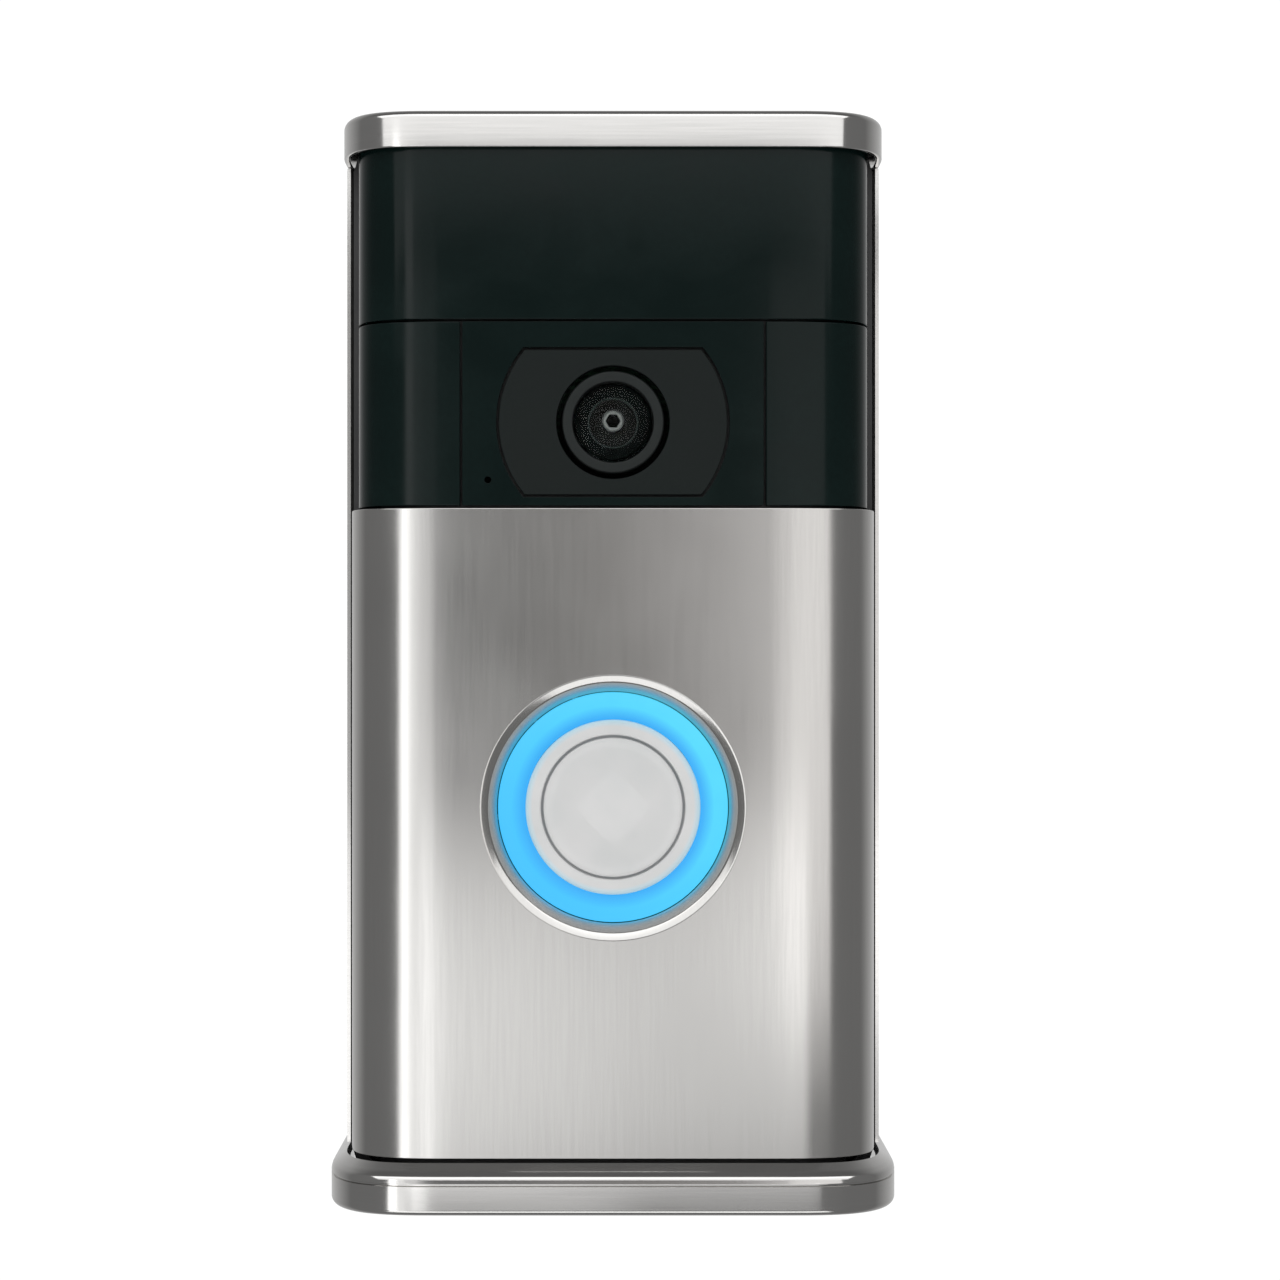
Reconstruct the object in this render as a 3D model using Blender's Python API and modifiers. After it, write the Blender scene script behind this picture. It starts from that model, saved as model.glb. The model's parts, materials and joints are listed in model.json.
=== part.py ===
"""A battery video doorbell held in a stainless steel wrap-around bracket.

The wall is the plane Y = 0 and the front faces -Y, with +Z up and +X to the right.
The origin is the centre of the bracket's wall face.
Lengths below are in millimetres, and the helpers turn them into Blender's metres.
"""

import math

import bmesh
import bpy
from mathutils import Matrix

MM = 0.001
GAP = 0.3
OVERSHOOT = 0.5
CORNER_STEPS = 7

# Doorbell unit: overall outline
BODY_HALF = 31.0
BODY_FRONT = -28.5
BODY_TOP = 61.5
BODY_BOTTOM = -61.5
BODY_CORNER = 9.0

# Bracket: sheet steel
SHEET = 0.7
BEND_RADIUS = 0.4
BAND_BACK = -GAP
FLANGE_FRONT = -17.0
FLANGE_LOW = -57.5
FLANGE_HIGH = 59.2
PLATE_TOP = 62.7
WINDOW_HALF = 14.0
WINDOW_LOW = 5.0
WINDOW_HIGH = 33.0
WINDOW_CORNER = 3.0
TOP_BAND_LOW = 59.5
TOP_BAND_HIGH = 63.8
TOP_BAND_CORNER = 8.2
TOP_BAND_FILLET = 0.9
BOTTOM_BAND_HALF = 33.5
BOTTOM_BAND_FRONT = -31.0
BOTTOM_BAND_CORNER = 9.5
BOTTOM_BAND_LOW = -63.7
BOTTOM_BAND_FILLET = 1.0
BOTTOM_BAND_FACE_TOP = -59.6
BOTTOM_BAND_RIM_TOP = -57.9
RIM_INSET = 1.85
RIM_SHARES = ((1.0, 0.0), (0.42, 0.38), (0.12, 0.66), (0.0, 1.0))
PAD_HALF = 24.0
PAD_FRONT = -24.0
PAD_BACK = -4.0

# Rear housing, its wiring pocket, and the inner frame
HOUSING_BACK = -SHEET - GAP
HOUSING_FRONT = -19.0
HOUSING_WALL = 1.6
HOUSING_FLOOR = 2.0
HOUSING_CORNER = 3.0
POCKET_HALF = 13.0
POCKET_LOW = 6.0
POCKET_HIGH = 32.0
POCKET_CORNER = 1.5
POCKET_WALL = 1.2
POCKET_FLOOR = -6.0
POCKET_FLOOR_INSIDE = -7.4
FRAME_HALF = 27.8
FRAME_FRONT = -26.6
FRAME_WALL = 1.6
FRAME_CORNER = 6.8
FRAME_END = 61.2
SPIGOT_HALF = 27.7
SPIGOT_END = 58.3
SPIGOT_BACK = -16.0
SEAL_FRONT = -18.6
SEAL_BACK = -16.6
SEAL_CORNER = 1.3

# Screws: the housing's four, the wall's four, and two security screws under the bottom band
SHANK_RADIUS = 1.4
SHANK_HOLE = SHANK_RADIUS + GAP
POST_X = 24.3
POST_Z = 55.2
POST_RADIUS = 3.2
BOSS_RADIUS = 2.6
BOSS_FRONT = -22.5
HEAD_WELL_RADIUS = 2.6
HEAD_WELL_DEPTH = 2.2
HOUSING_SCREW_HEAD = 2.3
HOUSING_SCREW_HEAD_HEIGHT = 1.5
HOUSING_SCREW_SHANK = 1.2
HOUSING_SCREW_LENGTH = 18.9
UNIT_SCREW_X = 23.2
UNIT_SCREW_HEIGHTS = (-46.0, 9.0)
UNIT_SCREW_HEAD = 2.5
UNIT_SCREW_HEAD_HEIGHT = 1.6
UNIT_SCREW_END = -0.2
DRIVER_HOLE = 2.8
SECURITY_X = 14.0
SECURITY_Y = -10.0
SECURITY_HEAD = 2.6
SECURITY_HEAD_HEIGHT = 1.3
SECURITY_LENGTH = 4.8

# Camera head
HEAD_HALF = 30.2
HEAD_CORNER = 8.6
HEAD_WALL = 1.5
HEAD_BACK = HOUSING_FRONT - GAP
HEAD_LOW = 18.15
HEAD_SEAM = 39.6
SEAM_X = 17.6
CAMERA_Z = 27.8
CAMERA_PLATE_RADIUS = 13.25
CAMERA_PLATE_HALF_HEIGHT = 8.4
CAMERA_PLATE_SET_BACK = 0.2
CAMERA_WINDOW = 6.9
LENS_WELL_RADIUS = 6.57
BEZEL_RADIUS = 5.76
BEZEL_BACK = -24.8
LENS_RADIUS = 4.2
LENS_DOME = 0.7
LENS_BACK = -27.3
RETAINER_INNER = 2.72
RETAINER_FRONT = -27.0
RETAINER_BACK = -25.0
INNER_LENS_RADIUS = 2.4
INNER_LENS_FRONT = -26.7
INNER_LENS_BACK = -25.5
APERTURE_OUTER = 1.46
APERTURE_INNER = 0.92
APERTURE_FRONT = -25.2
BARREL_FRONT = -24.5
BARREL_BACK = -16.9
BARREL_RADIUS = 5.4
BARREL_FLANGE = 6.4
BARREL_FLANGE_FRONT = -20.5
BARREL_FLANGE_BACK = -18.5
IMAGE_SENSOR_HALF = 4.0
IMAGE_SENSOR_FRONT = -16.6
IMAGE_SENSOR_BACK = -15.7
IR_LED_X = 9.9
IR_LED_RADIUS = 1.5
IR_LED_FRONT = -26.8
IR_LED_BACK = -22.5
IR_LEAD_RADIUS = 0.6
IR_WINDOW = 1.9

# Motion sensors, microphone and speaker
PIR_X = 10.0
PIR_Z = 50.0
PIR_RADIUS = 4.0
PIR_RIM = 4.5
PIR_WINDOW = 4.3
PIR_FRONT = -24.7
PIR_RIM_FRONT = -19.6
PIR_BOARD_FRONT = -18.5
PIR_BOARD_HALF = 18.0
PIR_BOARD_HEIGHTS = (43.0, 56.0)
MIC_X = -14.5
MIC_Z = 21.1
MIC_RADIUS = 2.0
MIC_HOLE = 0.4
MIC_WINDOW = 0.6
MIC_FRONT = -24.7
MIC_BACK = -23.2
SPEAKER_Z = -43.6
SPEAKER_RADIUS = 11.0
SPEAKER_CONE = 9.4
SPEAKER_MAGNET = 7.0
SPEAKER_FRONT = -23.6
SPEAKER_BACK = -18.5
SPEAKER_GASKET_FRONT = -24.7
SPEAKER_GASKET_BACK = -23.9
SPEAKER_SLOT_HALF = 5.0
SPEAKER_SLOT_HALF_HEIGHT = 0.7
SPEAKER_SLOT_PITCH = 4.0

# Face cover and bell button
COVER_TOP = 17.85
COVER_LOW = -57.6
COVER_SIDE = 1.0
COVER_FACE = 1.6
BUTTON_Z = -16.9
BUTTON_WELL_RADIUS = 15.1
COVER_HOLE_RADIUS = 13.7
LIGHT_RING_OUTER = 13.4
LIGHT_RING_INNER = 10.5
LIGHT_RING_FRONT = -27.1
LIGHT_RING_BACK = -25.0
SURROUND_FRONT = -27.3
SURROUND_INNER = 8.4
BUTTON_FRONT = -27.5
BUTTON_RADIUS = 8.1
BUTTON_CHAMFER = 0.3
BUTTON_FLANGE_RADIUS = 9.3
BUTTON_FLANGE_FRONT = -24.6
BUTTON_FLANGE_BACK = -23.8
BUTTON_STEM_RADIUS = 2.0
BUTTON_STEM_END = -23.2
LED_BOARD_INNER = 9.6
LED_BOARD_OUTER = 15.3
LED_BOARD_FRONT = -23.9
LED_BOARD_BACK = -22.9
LED_FRONT = -24.6
LED_HALF = 0.9
LED_COUNT = 8
LED_CIRCLE = 12.0
SWITCH_HALF = 3.0
SWITCH_FRONT = -21.7
SWITCH_BACK = -18.2
SWITCH_BORE = 1.9
SWITCH_BORE_END = -20.0
PLUNGER_RADIUS = 1.6
PLUNGER_FRONT = -22.9
PLUNGER_BACK = -21.0

# Boards and battery
BOARD = 1.4
BOARD_HALF = 20.0
BOARD_CORNER = 1.5
MAIN_BOARD_FRONT = -17.9
MAIN_BOARD_LOW = -52.0
MAIN_BOARD_HIGH = 12.0
SHIELD_X = (5.0, 19.0)
SHIELD_Z = (-29.0, -9.0)
SHIELD_HEIGHT = 2.6
SHIELD_WALL = 0.3
CAMERA_BOARD_FRONT = -15.4
CAMERA_BOARD_HALF = 14.0
CAMERA_BOARD_LOW = 17.0
CAMERA_BOARD_HIGH = 39.0
BATTERY_FRONT = -15.9
BATTERY_BACK = -5.6
BATTERY_LOW = -51.0
BATTERY_HIGH = 2.0
BATTERY_CORNER = 2.0
FOAM_HALF = 17.0
FOAM_LOW = -46.0
FOAM_HIGH = -3.0
FLEX_HALF = 5.0
FLEX_THICKNESS = 0.3
FLEX_HEIGHTS = (26.0, 15.0, 10.5, 4.0)
FLEX_FOLD_SHIFT = 0.2

# Rear connections, which end inside the wiring pocket
IO_BOARD_FRONT = -12.4
IO_BOARD = 1.2
IO_BOARD_LOW = 7.0
IO_BOARD_HIGH = 35.0
CONNECTION_END = -3.6
USB_Z = 29.5
USB_HALF = 4.0
USB_HALF_HEIGHT = 1.6
USB_WALL = 0.5
SETUP_X = 9.0
SETUP_RADIUS = 2.2
SETUP_FLANGE = 2.9
SETUP_FLANGE_FRONT = -9.7
SETUP_FLANGE_BACK = -8.4
TERMINAL_Z = 15.5
TERMINAL_X = 6.0
TERMINAL_HALF = 11.0
TERMINAL_HALF_HEIGHT = 4.0
TERMINAL_BACK = -5.0
TERMINAL_BORE = 1.5
TERMINAL_SCREW_HEAD = 2.6
TERMINAL_SCREW_HEAD_HEIGHT = 1.1
TERMINAL_SCREW_SHANK = 1.2
TERMINAL_SCREW_LENGTH = 3.2

UPRIGHT = Matrix()
FACING_FRONT = Matrix.Rotation(math.radians(90), 4, "X")
FACING_SIDE = Matrix(((0, 0, 1, 0), (1, 0, 0, 0), (0, 1, 0, 0), (0, 0, 0, 1)))


def clear_scene():
    for obj in list(bpy.data.objects):
        bpy.data.objects.remove(obj, do_unlink=True)


def new_collection(name):
    collection = bpy.data.collections.new(name)
    bpy.context.scene.collection.children.link(collection)
    return collection


def new_material(name, colour, roughness, metallic=0.0):
    material = bpy.data.materials.new(name)
    material.use_nodes = True
    shader = material.node_tree.nodes["Principled BSDF"]
    shader.inputs["Base Color"].default_value = (*colour, 1.0)
    shader.inputs["Roughness"].default_value = roughness
    shader.inputs["Metallic"].default_value = metallic
    return material


clear_scene()
PARTS = new_collection("video_doorbell")
CUTTERS = new_collection("cutters")

STEEL = new_material("polished_steel", (0.62, 0.61, 0.60), 0.22, 1.0)
NICKEL = new_material("satin_nickel", (0.58, 0.57, 0.55), 0.34, 1.0)
GLOSS_BLACK = new_material("gloss_black", (0.008, 0.012, 0.012), 0.12)
MATTE_GREY = new_material("matte_grey", (0.02, 0.023, 0.023), 0.6)
HOUSING_PLASTIC = new_material("housing_plastic", (0.03, 0.03, 0.03), 0.5)
LENS_METAL = new_material("lens_metal", (0.06, 0.065, 0.065), 0.35, 0.6)
GLASS = new_material("lens_glass", (0.004, 0.005, 0.006), 0.04)
BRIGHT_RING = new_material("bright_ring", (0.5, 0.5, 0.5), 0.3, 0.8)
BLUE_LIGHT = new_material("blue_light", (0.05, 0.45, 0.95), 0.3)
WHITE_PLASTIC = new_material("white_plastic", (0.66, 0.66, 0.66), 0.35)
RUBBER = new_material("rubber", (0.02, 0.02, 0.02), 0.8)
CIRCUIT = new_material("circuit_board", (0.01, 0.08, 0.04), 0.45)
BATTERY_WRAP = new_material("battery_wrap", (0.05, 0.09, 0.2), 0.5)
ORANGE = new_material("orange_plastic", (0.8, 0.2, 0.02), 0.4)
BRASS = new_material("brass", (0.7, 0.5, 0.2), 0.3, 1.0)
FLEX = new_material("flex_film", (0.35, 0.16, 0.03), 0.4)


def place_object(name, mesh, finish, matrix):
    """Links the mesh as a part, or as a hidden cutter where it has no finish."""
    obj = bpy.data.objects.new(name, mesh)
    obj.matrix_world = matrix
    if finish is None:
        CUTTERS.objects.link(obj)
        obj.hide_render = True
        obj.display_type = "WIRE"
    else:
        PARTS.objects.link(obj)
        mesh.materials.append(finish)
    return obj


def boolean(obj, other, operation="DIFFERENCE"):
    modifier = obj.modifiers.new(operation.lower(), "BOOLEAN")
    modifier.operation = operation
    modifier.object = other


def arc(centre, radius, start, end, steps=CORNER_STEPS):
    """Points on an arc, both ends included, with its angles in degrees."""
    points = []
    for step in range(steps + 1):
        angle = math.radians(start + (end - start) * step / steps)
        points.append((centre[0] + radius * math.cos(angle), centre[1] + radius * math.sin(angle)))
    return points


def circle(x, z, radius, steps=20):
    return arc((x, z), radius, 0, 360, steps)[:-1]


def rectangle(low_x, high_x, low_z, high_z, radius=0.0, steps=3):
    if radius == 0:
        return [(low_x, low_z), (high_x, low_z), (high_x, high_z), (low_x, high_z)]
    points = []
    points += arc((low_x + radius, low_z + radius), radius, 180, 270, steps)
    points += arc((high_x - radius, low_z + radius), radius, 270, 360, steps)
    points += arc((high_x - radius, high_z - radius), radius, 0, 90, steps)
    points += arc((low_x + radius, high_z - radius), radius, 90, 180, steps)
    return points


def plan_chain(half, front, back, radius):
    """An open run from back left, round the two front corners, to back right."""
    points = [(-half, back)]
    points += arc((-half + radius, front + radius), radius, 180, 270)
    points += arc((half - radius, front + radius), radius, 270, 360)
    points.append((half, back))
    return points


def bent_chain(half, back, radius):
    """An open run from the left flange's front edge, along the back, to the right flange's."""
    points = [(-half, FLANGE_FRONT)]
    points += arc((-half + radius, back - radius), radius, 180, 90, 4)
    points += arc((half - radius, back - radius), radius, 90, 0, 4)
    points.append((half, FLANGE_FRONT))
    return points


def plan_band(half, front, back, radius, side, face):
    """A wall of the plan chain's shape, side thick beside and face thick in front."""
    outer = plan_chain(half, front, back, radius)
    inner = plan_chain(half - side, front + face, back, radius - face)
    return outer + inner[::-1]


def extruded(name, loops, low, high, finish=None, facing=UPRIGHT):
    """Fills the loops as an outline with holes, and extrudes it from low to high."""
    curve = bpy.data.curves.new(name, "CURVE")
    curve.dimensions = "2D"
    curve.fill_mode = "BOTH"
    curve.extrude = (high - low) / 2 * MM
    for loop in loops:
        spline = curve.splines.new("POLY")
        spline.points.add(len(loop) - 1)
        for point, (u, v) in zip(spline.points, loop):
            point.co = (u * MM, v * MM, 0, 1)
        spline.use_cyclic_u = True
    outline = bpy.data.objects.new(name + "_outline", curve)
    CUTTERS.objects.link(outline)
    graph = bpy.context.evaluated_depsgraph_get()
    mesh = bpy.data.meshes.new_from_object(outline.evaluated_get(graph))
    bpy.data.objects.remove(outline)
    solid = bmesh.new()
    solid.from_mesh(mesh)
    bmesh.ops.remove_doubles(solid, verts=solid.verts, dist=1e-6)
    bmesh.ops.translate(solid, verts=solid.verts, vec=(0, 0, (low + high) / 2 * MM))
    bmesh.ops.recalc_face_normals(solid, faces=solid.faces)
    solid.to_mesh(mesh)
    solid.free()
    return place_object(name, mesh, finish, facing)


def plate(name, loops, front, back, finish=None):
    """An outline in X and Z, extruded from Y = front to Y = back."""
    return extruded(name, loops, -back, -front, finish, FACING_FRONT)


def turned(name, profile, finish, matrix, ring, steps):
    """Turns a profile of (radius, height) pairs, top to bottom on the outer side, about its axis."""
    mesh = bpy.data.meshes.new(name)
    wire = bmesh.new()
    verts = [wire.verts.new((radius * MM, 0, height * MM)) for radius, height in profile]
    for first, second in zip(verts, verts[1:]):
        wire.edges.new((first, second))
    if ring:
        wire.edges.new((verts[-1], verts[0]))
    wire.to_mesh(mesh)
    wire.free()
    obj = place_object(name, mesh, finish, matrix)
    screw = obj.modifiers.new("turn", "SCREW")
    screw.axis = "Z"
    screw.steps = steps
    screw.render_steps = steps
    screw.use_merge_vertices = True
    screw.merge_threshold = 0.00001
    return obj


def turned_front(name, profile, centre, finish=None, ring=False, steps=24):
    """Turns a profile of (radius, Y) pairs, front to back, about an axis along Y."""
    matrix = Matrix.Translation((centre[0] * MM, 0, centre[1] * MM)) @ FACING_FRONT
    heights = [(radius, -y) for radius, y in profile]
    return turned(name, heights, finish, matrix, ring, steps)


def washer(name, outer, inner, front, back, centre, finish, steps=32):
    profile = [(inner, front), (outer, front), (outer, back), (inner, back)]
    return turned_front(name, profile, centre, finish, ring=True, steps=steps)


def cube(name, x_range, y_range, z_range, finish=None, bevel=0.0):
    mesh = bpy.data.meshes.new(name)
    ranges = (x_range, y_range, z_range)
    size = Matrix.Diagonal([(high - low) * MM for low, high in ranges] + [1])
    middle = Matrix.Translation([(low + high) / 2 * MM for low, high in ranges])
    solid = bmesh.new()
    bmesh.ops.create_cube(solid, size=1, matrix=middle @ size)
    solid.to_mesh(mesh)
    solid.free()
    obj = place_object(name, mesh, finish, UPRIGHT)
    if bevel:
        rounding = obj.modifiers.new("rounding", "BEVEL")
        rounding.width = bevel * MM
        rounding.segments = 3
    return obj


def band_shell(name, half, front, corner, rows, outward, finish):
    """A sheet cap: rows of (inset, height) from the rim to the closed plate, thickened inwards."""
    mesh = bpy.data.meshes.new(name)
    sheet = bmesh.new()
    rings = []
    for inset, height in rows:
        chain = plan_chain(half - inset, front + inset, BAND_BACK, corner - inset)
        rings.append([sheet.verts.new((x * MM, y * MM, height * MM)) for x, y in chain])
    for upper, lower in zip(rings, rings[1:]):
        for index in range(len(upper) - 1):
            sheet.faces.new((upper[index], lower[index], lower[index + 1], upper[index + 1]))
    closing = sheet.faces.new(rings[-1])
    bmesh.ops.recalc_face_normals(sheet, faces=sheet.faces)
    if closing.normal.z * outward < 0:
        bmesh.ops.reverse_faces(sheet, faces=sheet.faces)
    sheet.to_mesh(mesh)
    sheet.free()
    obj = place_object(name, mesh, finish, UPRIGHT)
    thickness = obj.modifiers.new("sheet", "SOLIDIFY")
    thickness.thickness = SHEET * MM
    thickness.offset = -1
    thickness.use_even_offset = True
    return obj


def clipped_circle(radius, half_height, centre_z):
    """A circle with flat top and bottom."""
    angle = math.degrees(math.asin(half_height / radius))
    right = arc((0, centre_z), radius, -angle, angle, 10)
    left = arc((0, centre_z), radius, 180 - angle, 180 + angle, 10)
    return right + left


def screw_profile(head_radius, head_height, shank_radius, start, direction, length):
    """A pan head with a socket, then a shank; start is the head's seat, direction the way it points."""
    socket = head_radius * 0.45
    tip = 0.6
    head_top = start - direction * head_height
    socket_floor = head_top + direction * head_height * 0.6
    crown_edge = head_top + direction * head_height * 0.4
    return [
        (0, socket_floor),
        (socket, socket_floor),
        (socket, head_top),
        (head_radius * 0.8, head_top),
        (head_radius, crown_edge),
        (head_radius, start),
        (shank_radius, start),
        (shank_radius, start + direction * (length - tip)),
        (0, start + direction * length),
    ]


def mounting_screw_places():
    places = []
    for height in UNIT_SCREW_HEIGHTS:
        places.append((-UNIT_SCREW_X, height))
        places.append((UNIT_SCREW_X, height))
    return places


def post_places():
    return [(x, z) for z in (-POST_Z, POST_Z) for x in (-POST_X, POST_X)]


def pocket_outline(margin):
    """The wiring pocket's outline, grown by margin all round."""
    half = POCKET_HALF + margin
    return rectangle(-half, half, POCKET_LOW - margin, POCKET_HIGH + margin, POCKET_CORNER)


# ---------------------------------------------------------------- bracket


def make_back_plate():
    """The bracket's back plate and its two side flanges, bent from one sheet."""
    wide = BODY_HALF + GAP + SHEET
    outline = bent_chain(wide, 0, BEND_RADIUS + SHEET)
    outline += bent_chain(wide - SHEET, -SHEET, BEND_RADIUS)[::-1]
    back = extruded("bracket_back_plate", [outline], -PLATE_TOP, PLATE_TOP, STEEL)
    cuts = [rectangle(-WINDOW_HALF, WINDOW_HALF, WINDOW_LOW, WINDOW_HIGH, WINDOW_CORNER)]
    cuts += [circle(x, z, SHANK_HOLE, 12) for x, z in mounting_screw_places()]
    beyond = PLATE_TOP + OVERSHOOT
    for low_x, high_x in ((-wide - OVERSHOOT, -BODY_HALF), (BODY_HALF, wide + OVERSHOOT)):
        cuts.append(rectangle(low_x, high_x, -beyond, FLANGE_LOW))
        cuts.append(rectangle(low_x, high_x, FLANGE_HIGH, beyond))
    boolean(back, plate("back_plate_cuts", cuts, FLANGE_FRONT - OVERSHOOT, OVERSHOOT))


def make_top_band():
    fillet_centre = (TOP_BAND_FILLET, TOP_BAND_HIGH - TOP_BAND_FILLET)
    rows = [(0, TOP_BAND_LOW)] + arc(fillet_centre, TOP_BAND_FILLET, 180, 90, 3)
    half = BODY_HALF + GAP + SHEET
    front = BODY_FRONT - GAP - SHEET
    band_shell("top_band", half, front, TOP_BAND_CORNER, rows, 1, STEEL)
    pad_heights = (BODY_TOP + GAP, TOP_BAND_HIGH - SHEET - GAP)
    cube("top_pad", (-PAD_HALF, PAD_HALF), (PAD_FRONT, PAD_BACK), pad_heights, RUBBER)


def make_bottom_band():
    """The tray under the doorbell: a sloped rim, a round shoulder, the front face and the floor."""
    shoulder = BOTTOM_BAND_RIM_TOP - BOTTOM_BAND_FACE_TOP
    rows = []
    for inset_share, drop_share in RIM_SHARES:
        rows.append((RIM_INSET * inset_share, BOTTOM_BAND_RIM_TOP - shoulder * drop_share))
    fillet_centre = (BOTTOM_BAND_FILLET, BOTTOM_BAND_LOW + BOTTOM_BAND_FILLET)
    rows += arc(fillet_centre, BOTTOM_BAND_FILLET, 180, 270, 3)
    tray = band_shell(
        "bottom_band", BOTTOM_BAND_HALF, BOTTOM_BAND_FRONT, BOTTOM_BAND_CORNER, rows, -1, STEEL
    )
    holes = [circle(x, SECURITY_Y, SHANK_HOLE, 12) for x in (-SECURITY_X, SECURITY_X)]
    drill = extruded("tray_drill", holes, BOTTOM_BAND_LOW - OVERSHOOT, BODY_BOTTOM)
    boolean(tray, drill)
    pad_low = BOTTOM_BAND_LOW + SHEET + GAP
    pad_outline = rectangle(-PAD_HALF, PAD_HALF, PAD_FRONT, PAD_BACK)
    extruded("bottom_pad", [pad_outline] + holes, pad_low, BODY_BOTTOM - GAP, RUBBER)
    seat = BOTTOM_BAND_LOW - GAP
    profile = screw_profile(
        SECURITY_HEAD, SECURITY_HEAD_HEIGHT, SHANK_RADIUS, seat, 1, SECURITY_LENGTH
    )
    for x, side in ((-SECURITY_X, "left"), (SECURITY_X, "right")):
        matrix = Matrix.Translation((x * MM, SECURITY_Y * MM, 0))
        turned("security_screw_" + side, profile[::-1], STEEL, matrix, False, 16)


# ---------------------------------------------------------------- rear housing and inner frame


def make_rear_housing():
    """The tub that holds the battery and boards, open to the front, with a wiring pocket at the back."""
    outer = rectangle(-BODY_HALF, BODY_HALF, BODY_BOTTOM, BODY_TOP, HOUSING_CORNER)
    screw_holes = [circle(x, z, SHANK_HOLE, 12) for x, z in mounting_screw_places() + post_places()]
    tub = plate("rear_housing", [outer] + screw_holes, HOUSING_FRONT, HOUSING_BACK, HOUSING_PLASTIC)

    half = BODY_HALF - HOUSING_WALL
    end = BODY_TOP - HOUSING_WALL
    inner = rectangle(-half, half, -end, end, HOUSING_WALL)
    post_end = SPIGOT_BACK + GAP
    mouth = plate("housing_mouth", [inner], HOUSING_FRONT - OVERSHOOT, post_end)
    posts = [circle(x, z, POST_RADIUS) for x, z in post_places()]
    block = pocket_outline(POCKET_WALL)
    floor = HOUSING_BACK - HOUSING_FLOOR
    hollow = plate("housing_hollow", [inner, block] + posts, post_end - OVERSHOOT, floor)
    above_pocket = [pocket_outline(POCKET_WALL + OVERSHOOT)]
    clearance = plate("pocket_clearance", above_pocket, post_end - OVERSHOOT, POCKET_FLOOR_INSIDE)
    pocket = plate("wiring_pocket", [pocket_outline(0)], POCKET_FLOOR, HOUSING_BACK + OVERSHOOT)

    port = (USB_HALF + GAP, USB_HALF_HEIGHT + GAP)
    block_half = TERMINAL_HALF + GAP
    block_height = TERMINAL_HALF_HEIGHT + GAP
    openings = [rectangle(-port[0], port[0], USB_Z - port[1], USB_Z + port[1])]
    openings.append(circle(SETUP_X, USB_Z, SETUP_RADIUS + GAP, 16))
    openings.append(
        rectangle(-block_half, block_half, TERMINAL_Z - block_height, TERMINAL_Z + block_height)
    )
    connections = plate(
        "connection_openings", openings, POCKET_FLOOR_INSIDE - OVERSHOOT, POCKET_FLOOR + OVERSHOOT
    )
    wells = [circle(x, z, HEAD_WELL_RADIUS, 16) for x, z in post_places()]
    well_front = HOUSING_BACK - HEAD_WELL_DEPTH
    head_wells = plate("screw_head_wells", wells, well_front, HOUSING_BACK + OVERSHOOT)
    holes = [circle(x, SECURITY_Y, SHANK_HOLE, 12) for x in (-SECURITY_X, SECURITY_X)]
    drill = extruded("housing_drill", holes, BODY_BOTTOM - OVERSHOOT, -end + OVERSHOOT)
    for cutter in (mouth, hollow, clearance, pocket, connections, head_wells, drill):
        boolean(tub, cutter)


def make_inner_frame():
    """The carrier behind the covers. Its spigot fits in the housing's mouth."""
    front_part = plan_chain(FRAME_HALF, FRAME_FRONT, HEAD_BACK, FRAME_CORNER)
    frame = extruded("inner_frame", [front_part], -FRAME_END, FRAME_END, HOUSING_PLASTIC)
    spigot = cube(
        "frame_spigot",
        (-SPIGOT_HALF, SPIGOT_HALF),
        (HEAD_BACK - OVERSHOOT, SPIGOT_BACK),
        (-SPIGOT_END, SPIGOT_END),
    )
    boolean(frame, spigot, "UNION")
    chain = plan_chain(
        FRAME_HALF - FRAME_WALL,
        FRAME_FRONT + FRAME_WALL,
        SPIGOT_BACK + OVERSHOOT,
        FRAME_CORNER - FRAME_WALL,
    )
    end = SPIGOT_END - FRAME_WALL
    boolean(frame, extruded("frame_hollow", [chain], -end, end))
    bosses = [circle(x, z, BOSS_RADIUS, 16) for x, z in post_places()]
    boolean(frame, plate("frame_bosses", bosses, BOSS_FRONT, SPIGOT_BACK), "UNION")
    bores = [circle(x, z, SHANK_HOLE, 12) for x, z in post_places()]
    boolean(frame, plate("boss_bores", bores, BOSS_FRONT + OVERSHOOT, SPIGOT_BACK + OVERSHOOT))

    windows = [circle(0, CAMERA_Z, CAMERA_WINDOW, 32), circle(0, BUTTON_Z, COVER_HOLE_RADIUS, 32)]
    windows += [circle(x, PIR_Z, PIR_WINDOW, 16) for x in (-PIR_X, PIR_X)]
    windows += [circle(x, CAMERA_Z, IR_WINDOW, 12) for x in (-IR_LED_X, IR_LED_X)]
    windows += [circle(x, z, DRIVER_HOLE, 16) for x, z in mounting_screw_places()]
    windows.append(circle(MIC_X, MIC_Z, MIC_WINDOW, 8))
    for step in (-1, 0, 1):
        slot_z = SPEAKER_Z + SPEAKER_SLOT_PITCH * step
        low = slot_z - SPEAKER_SLOT_HALF_HEIGHT
        high = slot_z + SPEAKER_SLOT_HALF_HEIGHT
        windows.append(rectangle(-SPEAKER_SLOT_HALF, SPEAKER_SLOT_HALF, low, high))
    boolean(frame, plate("frame_windows", windows, FRAME_FRONT - OVERSHOOT, HOUSING_FRONT))


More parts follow.
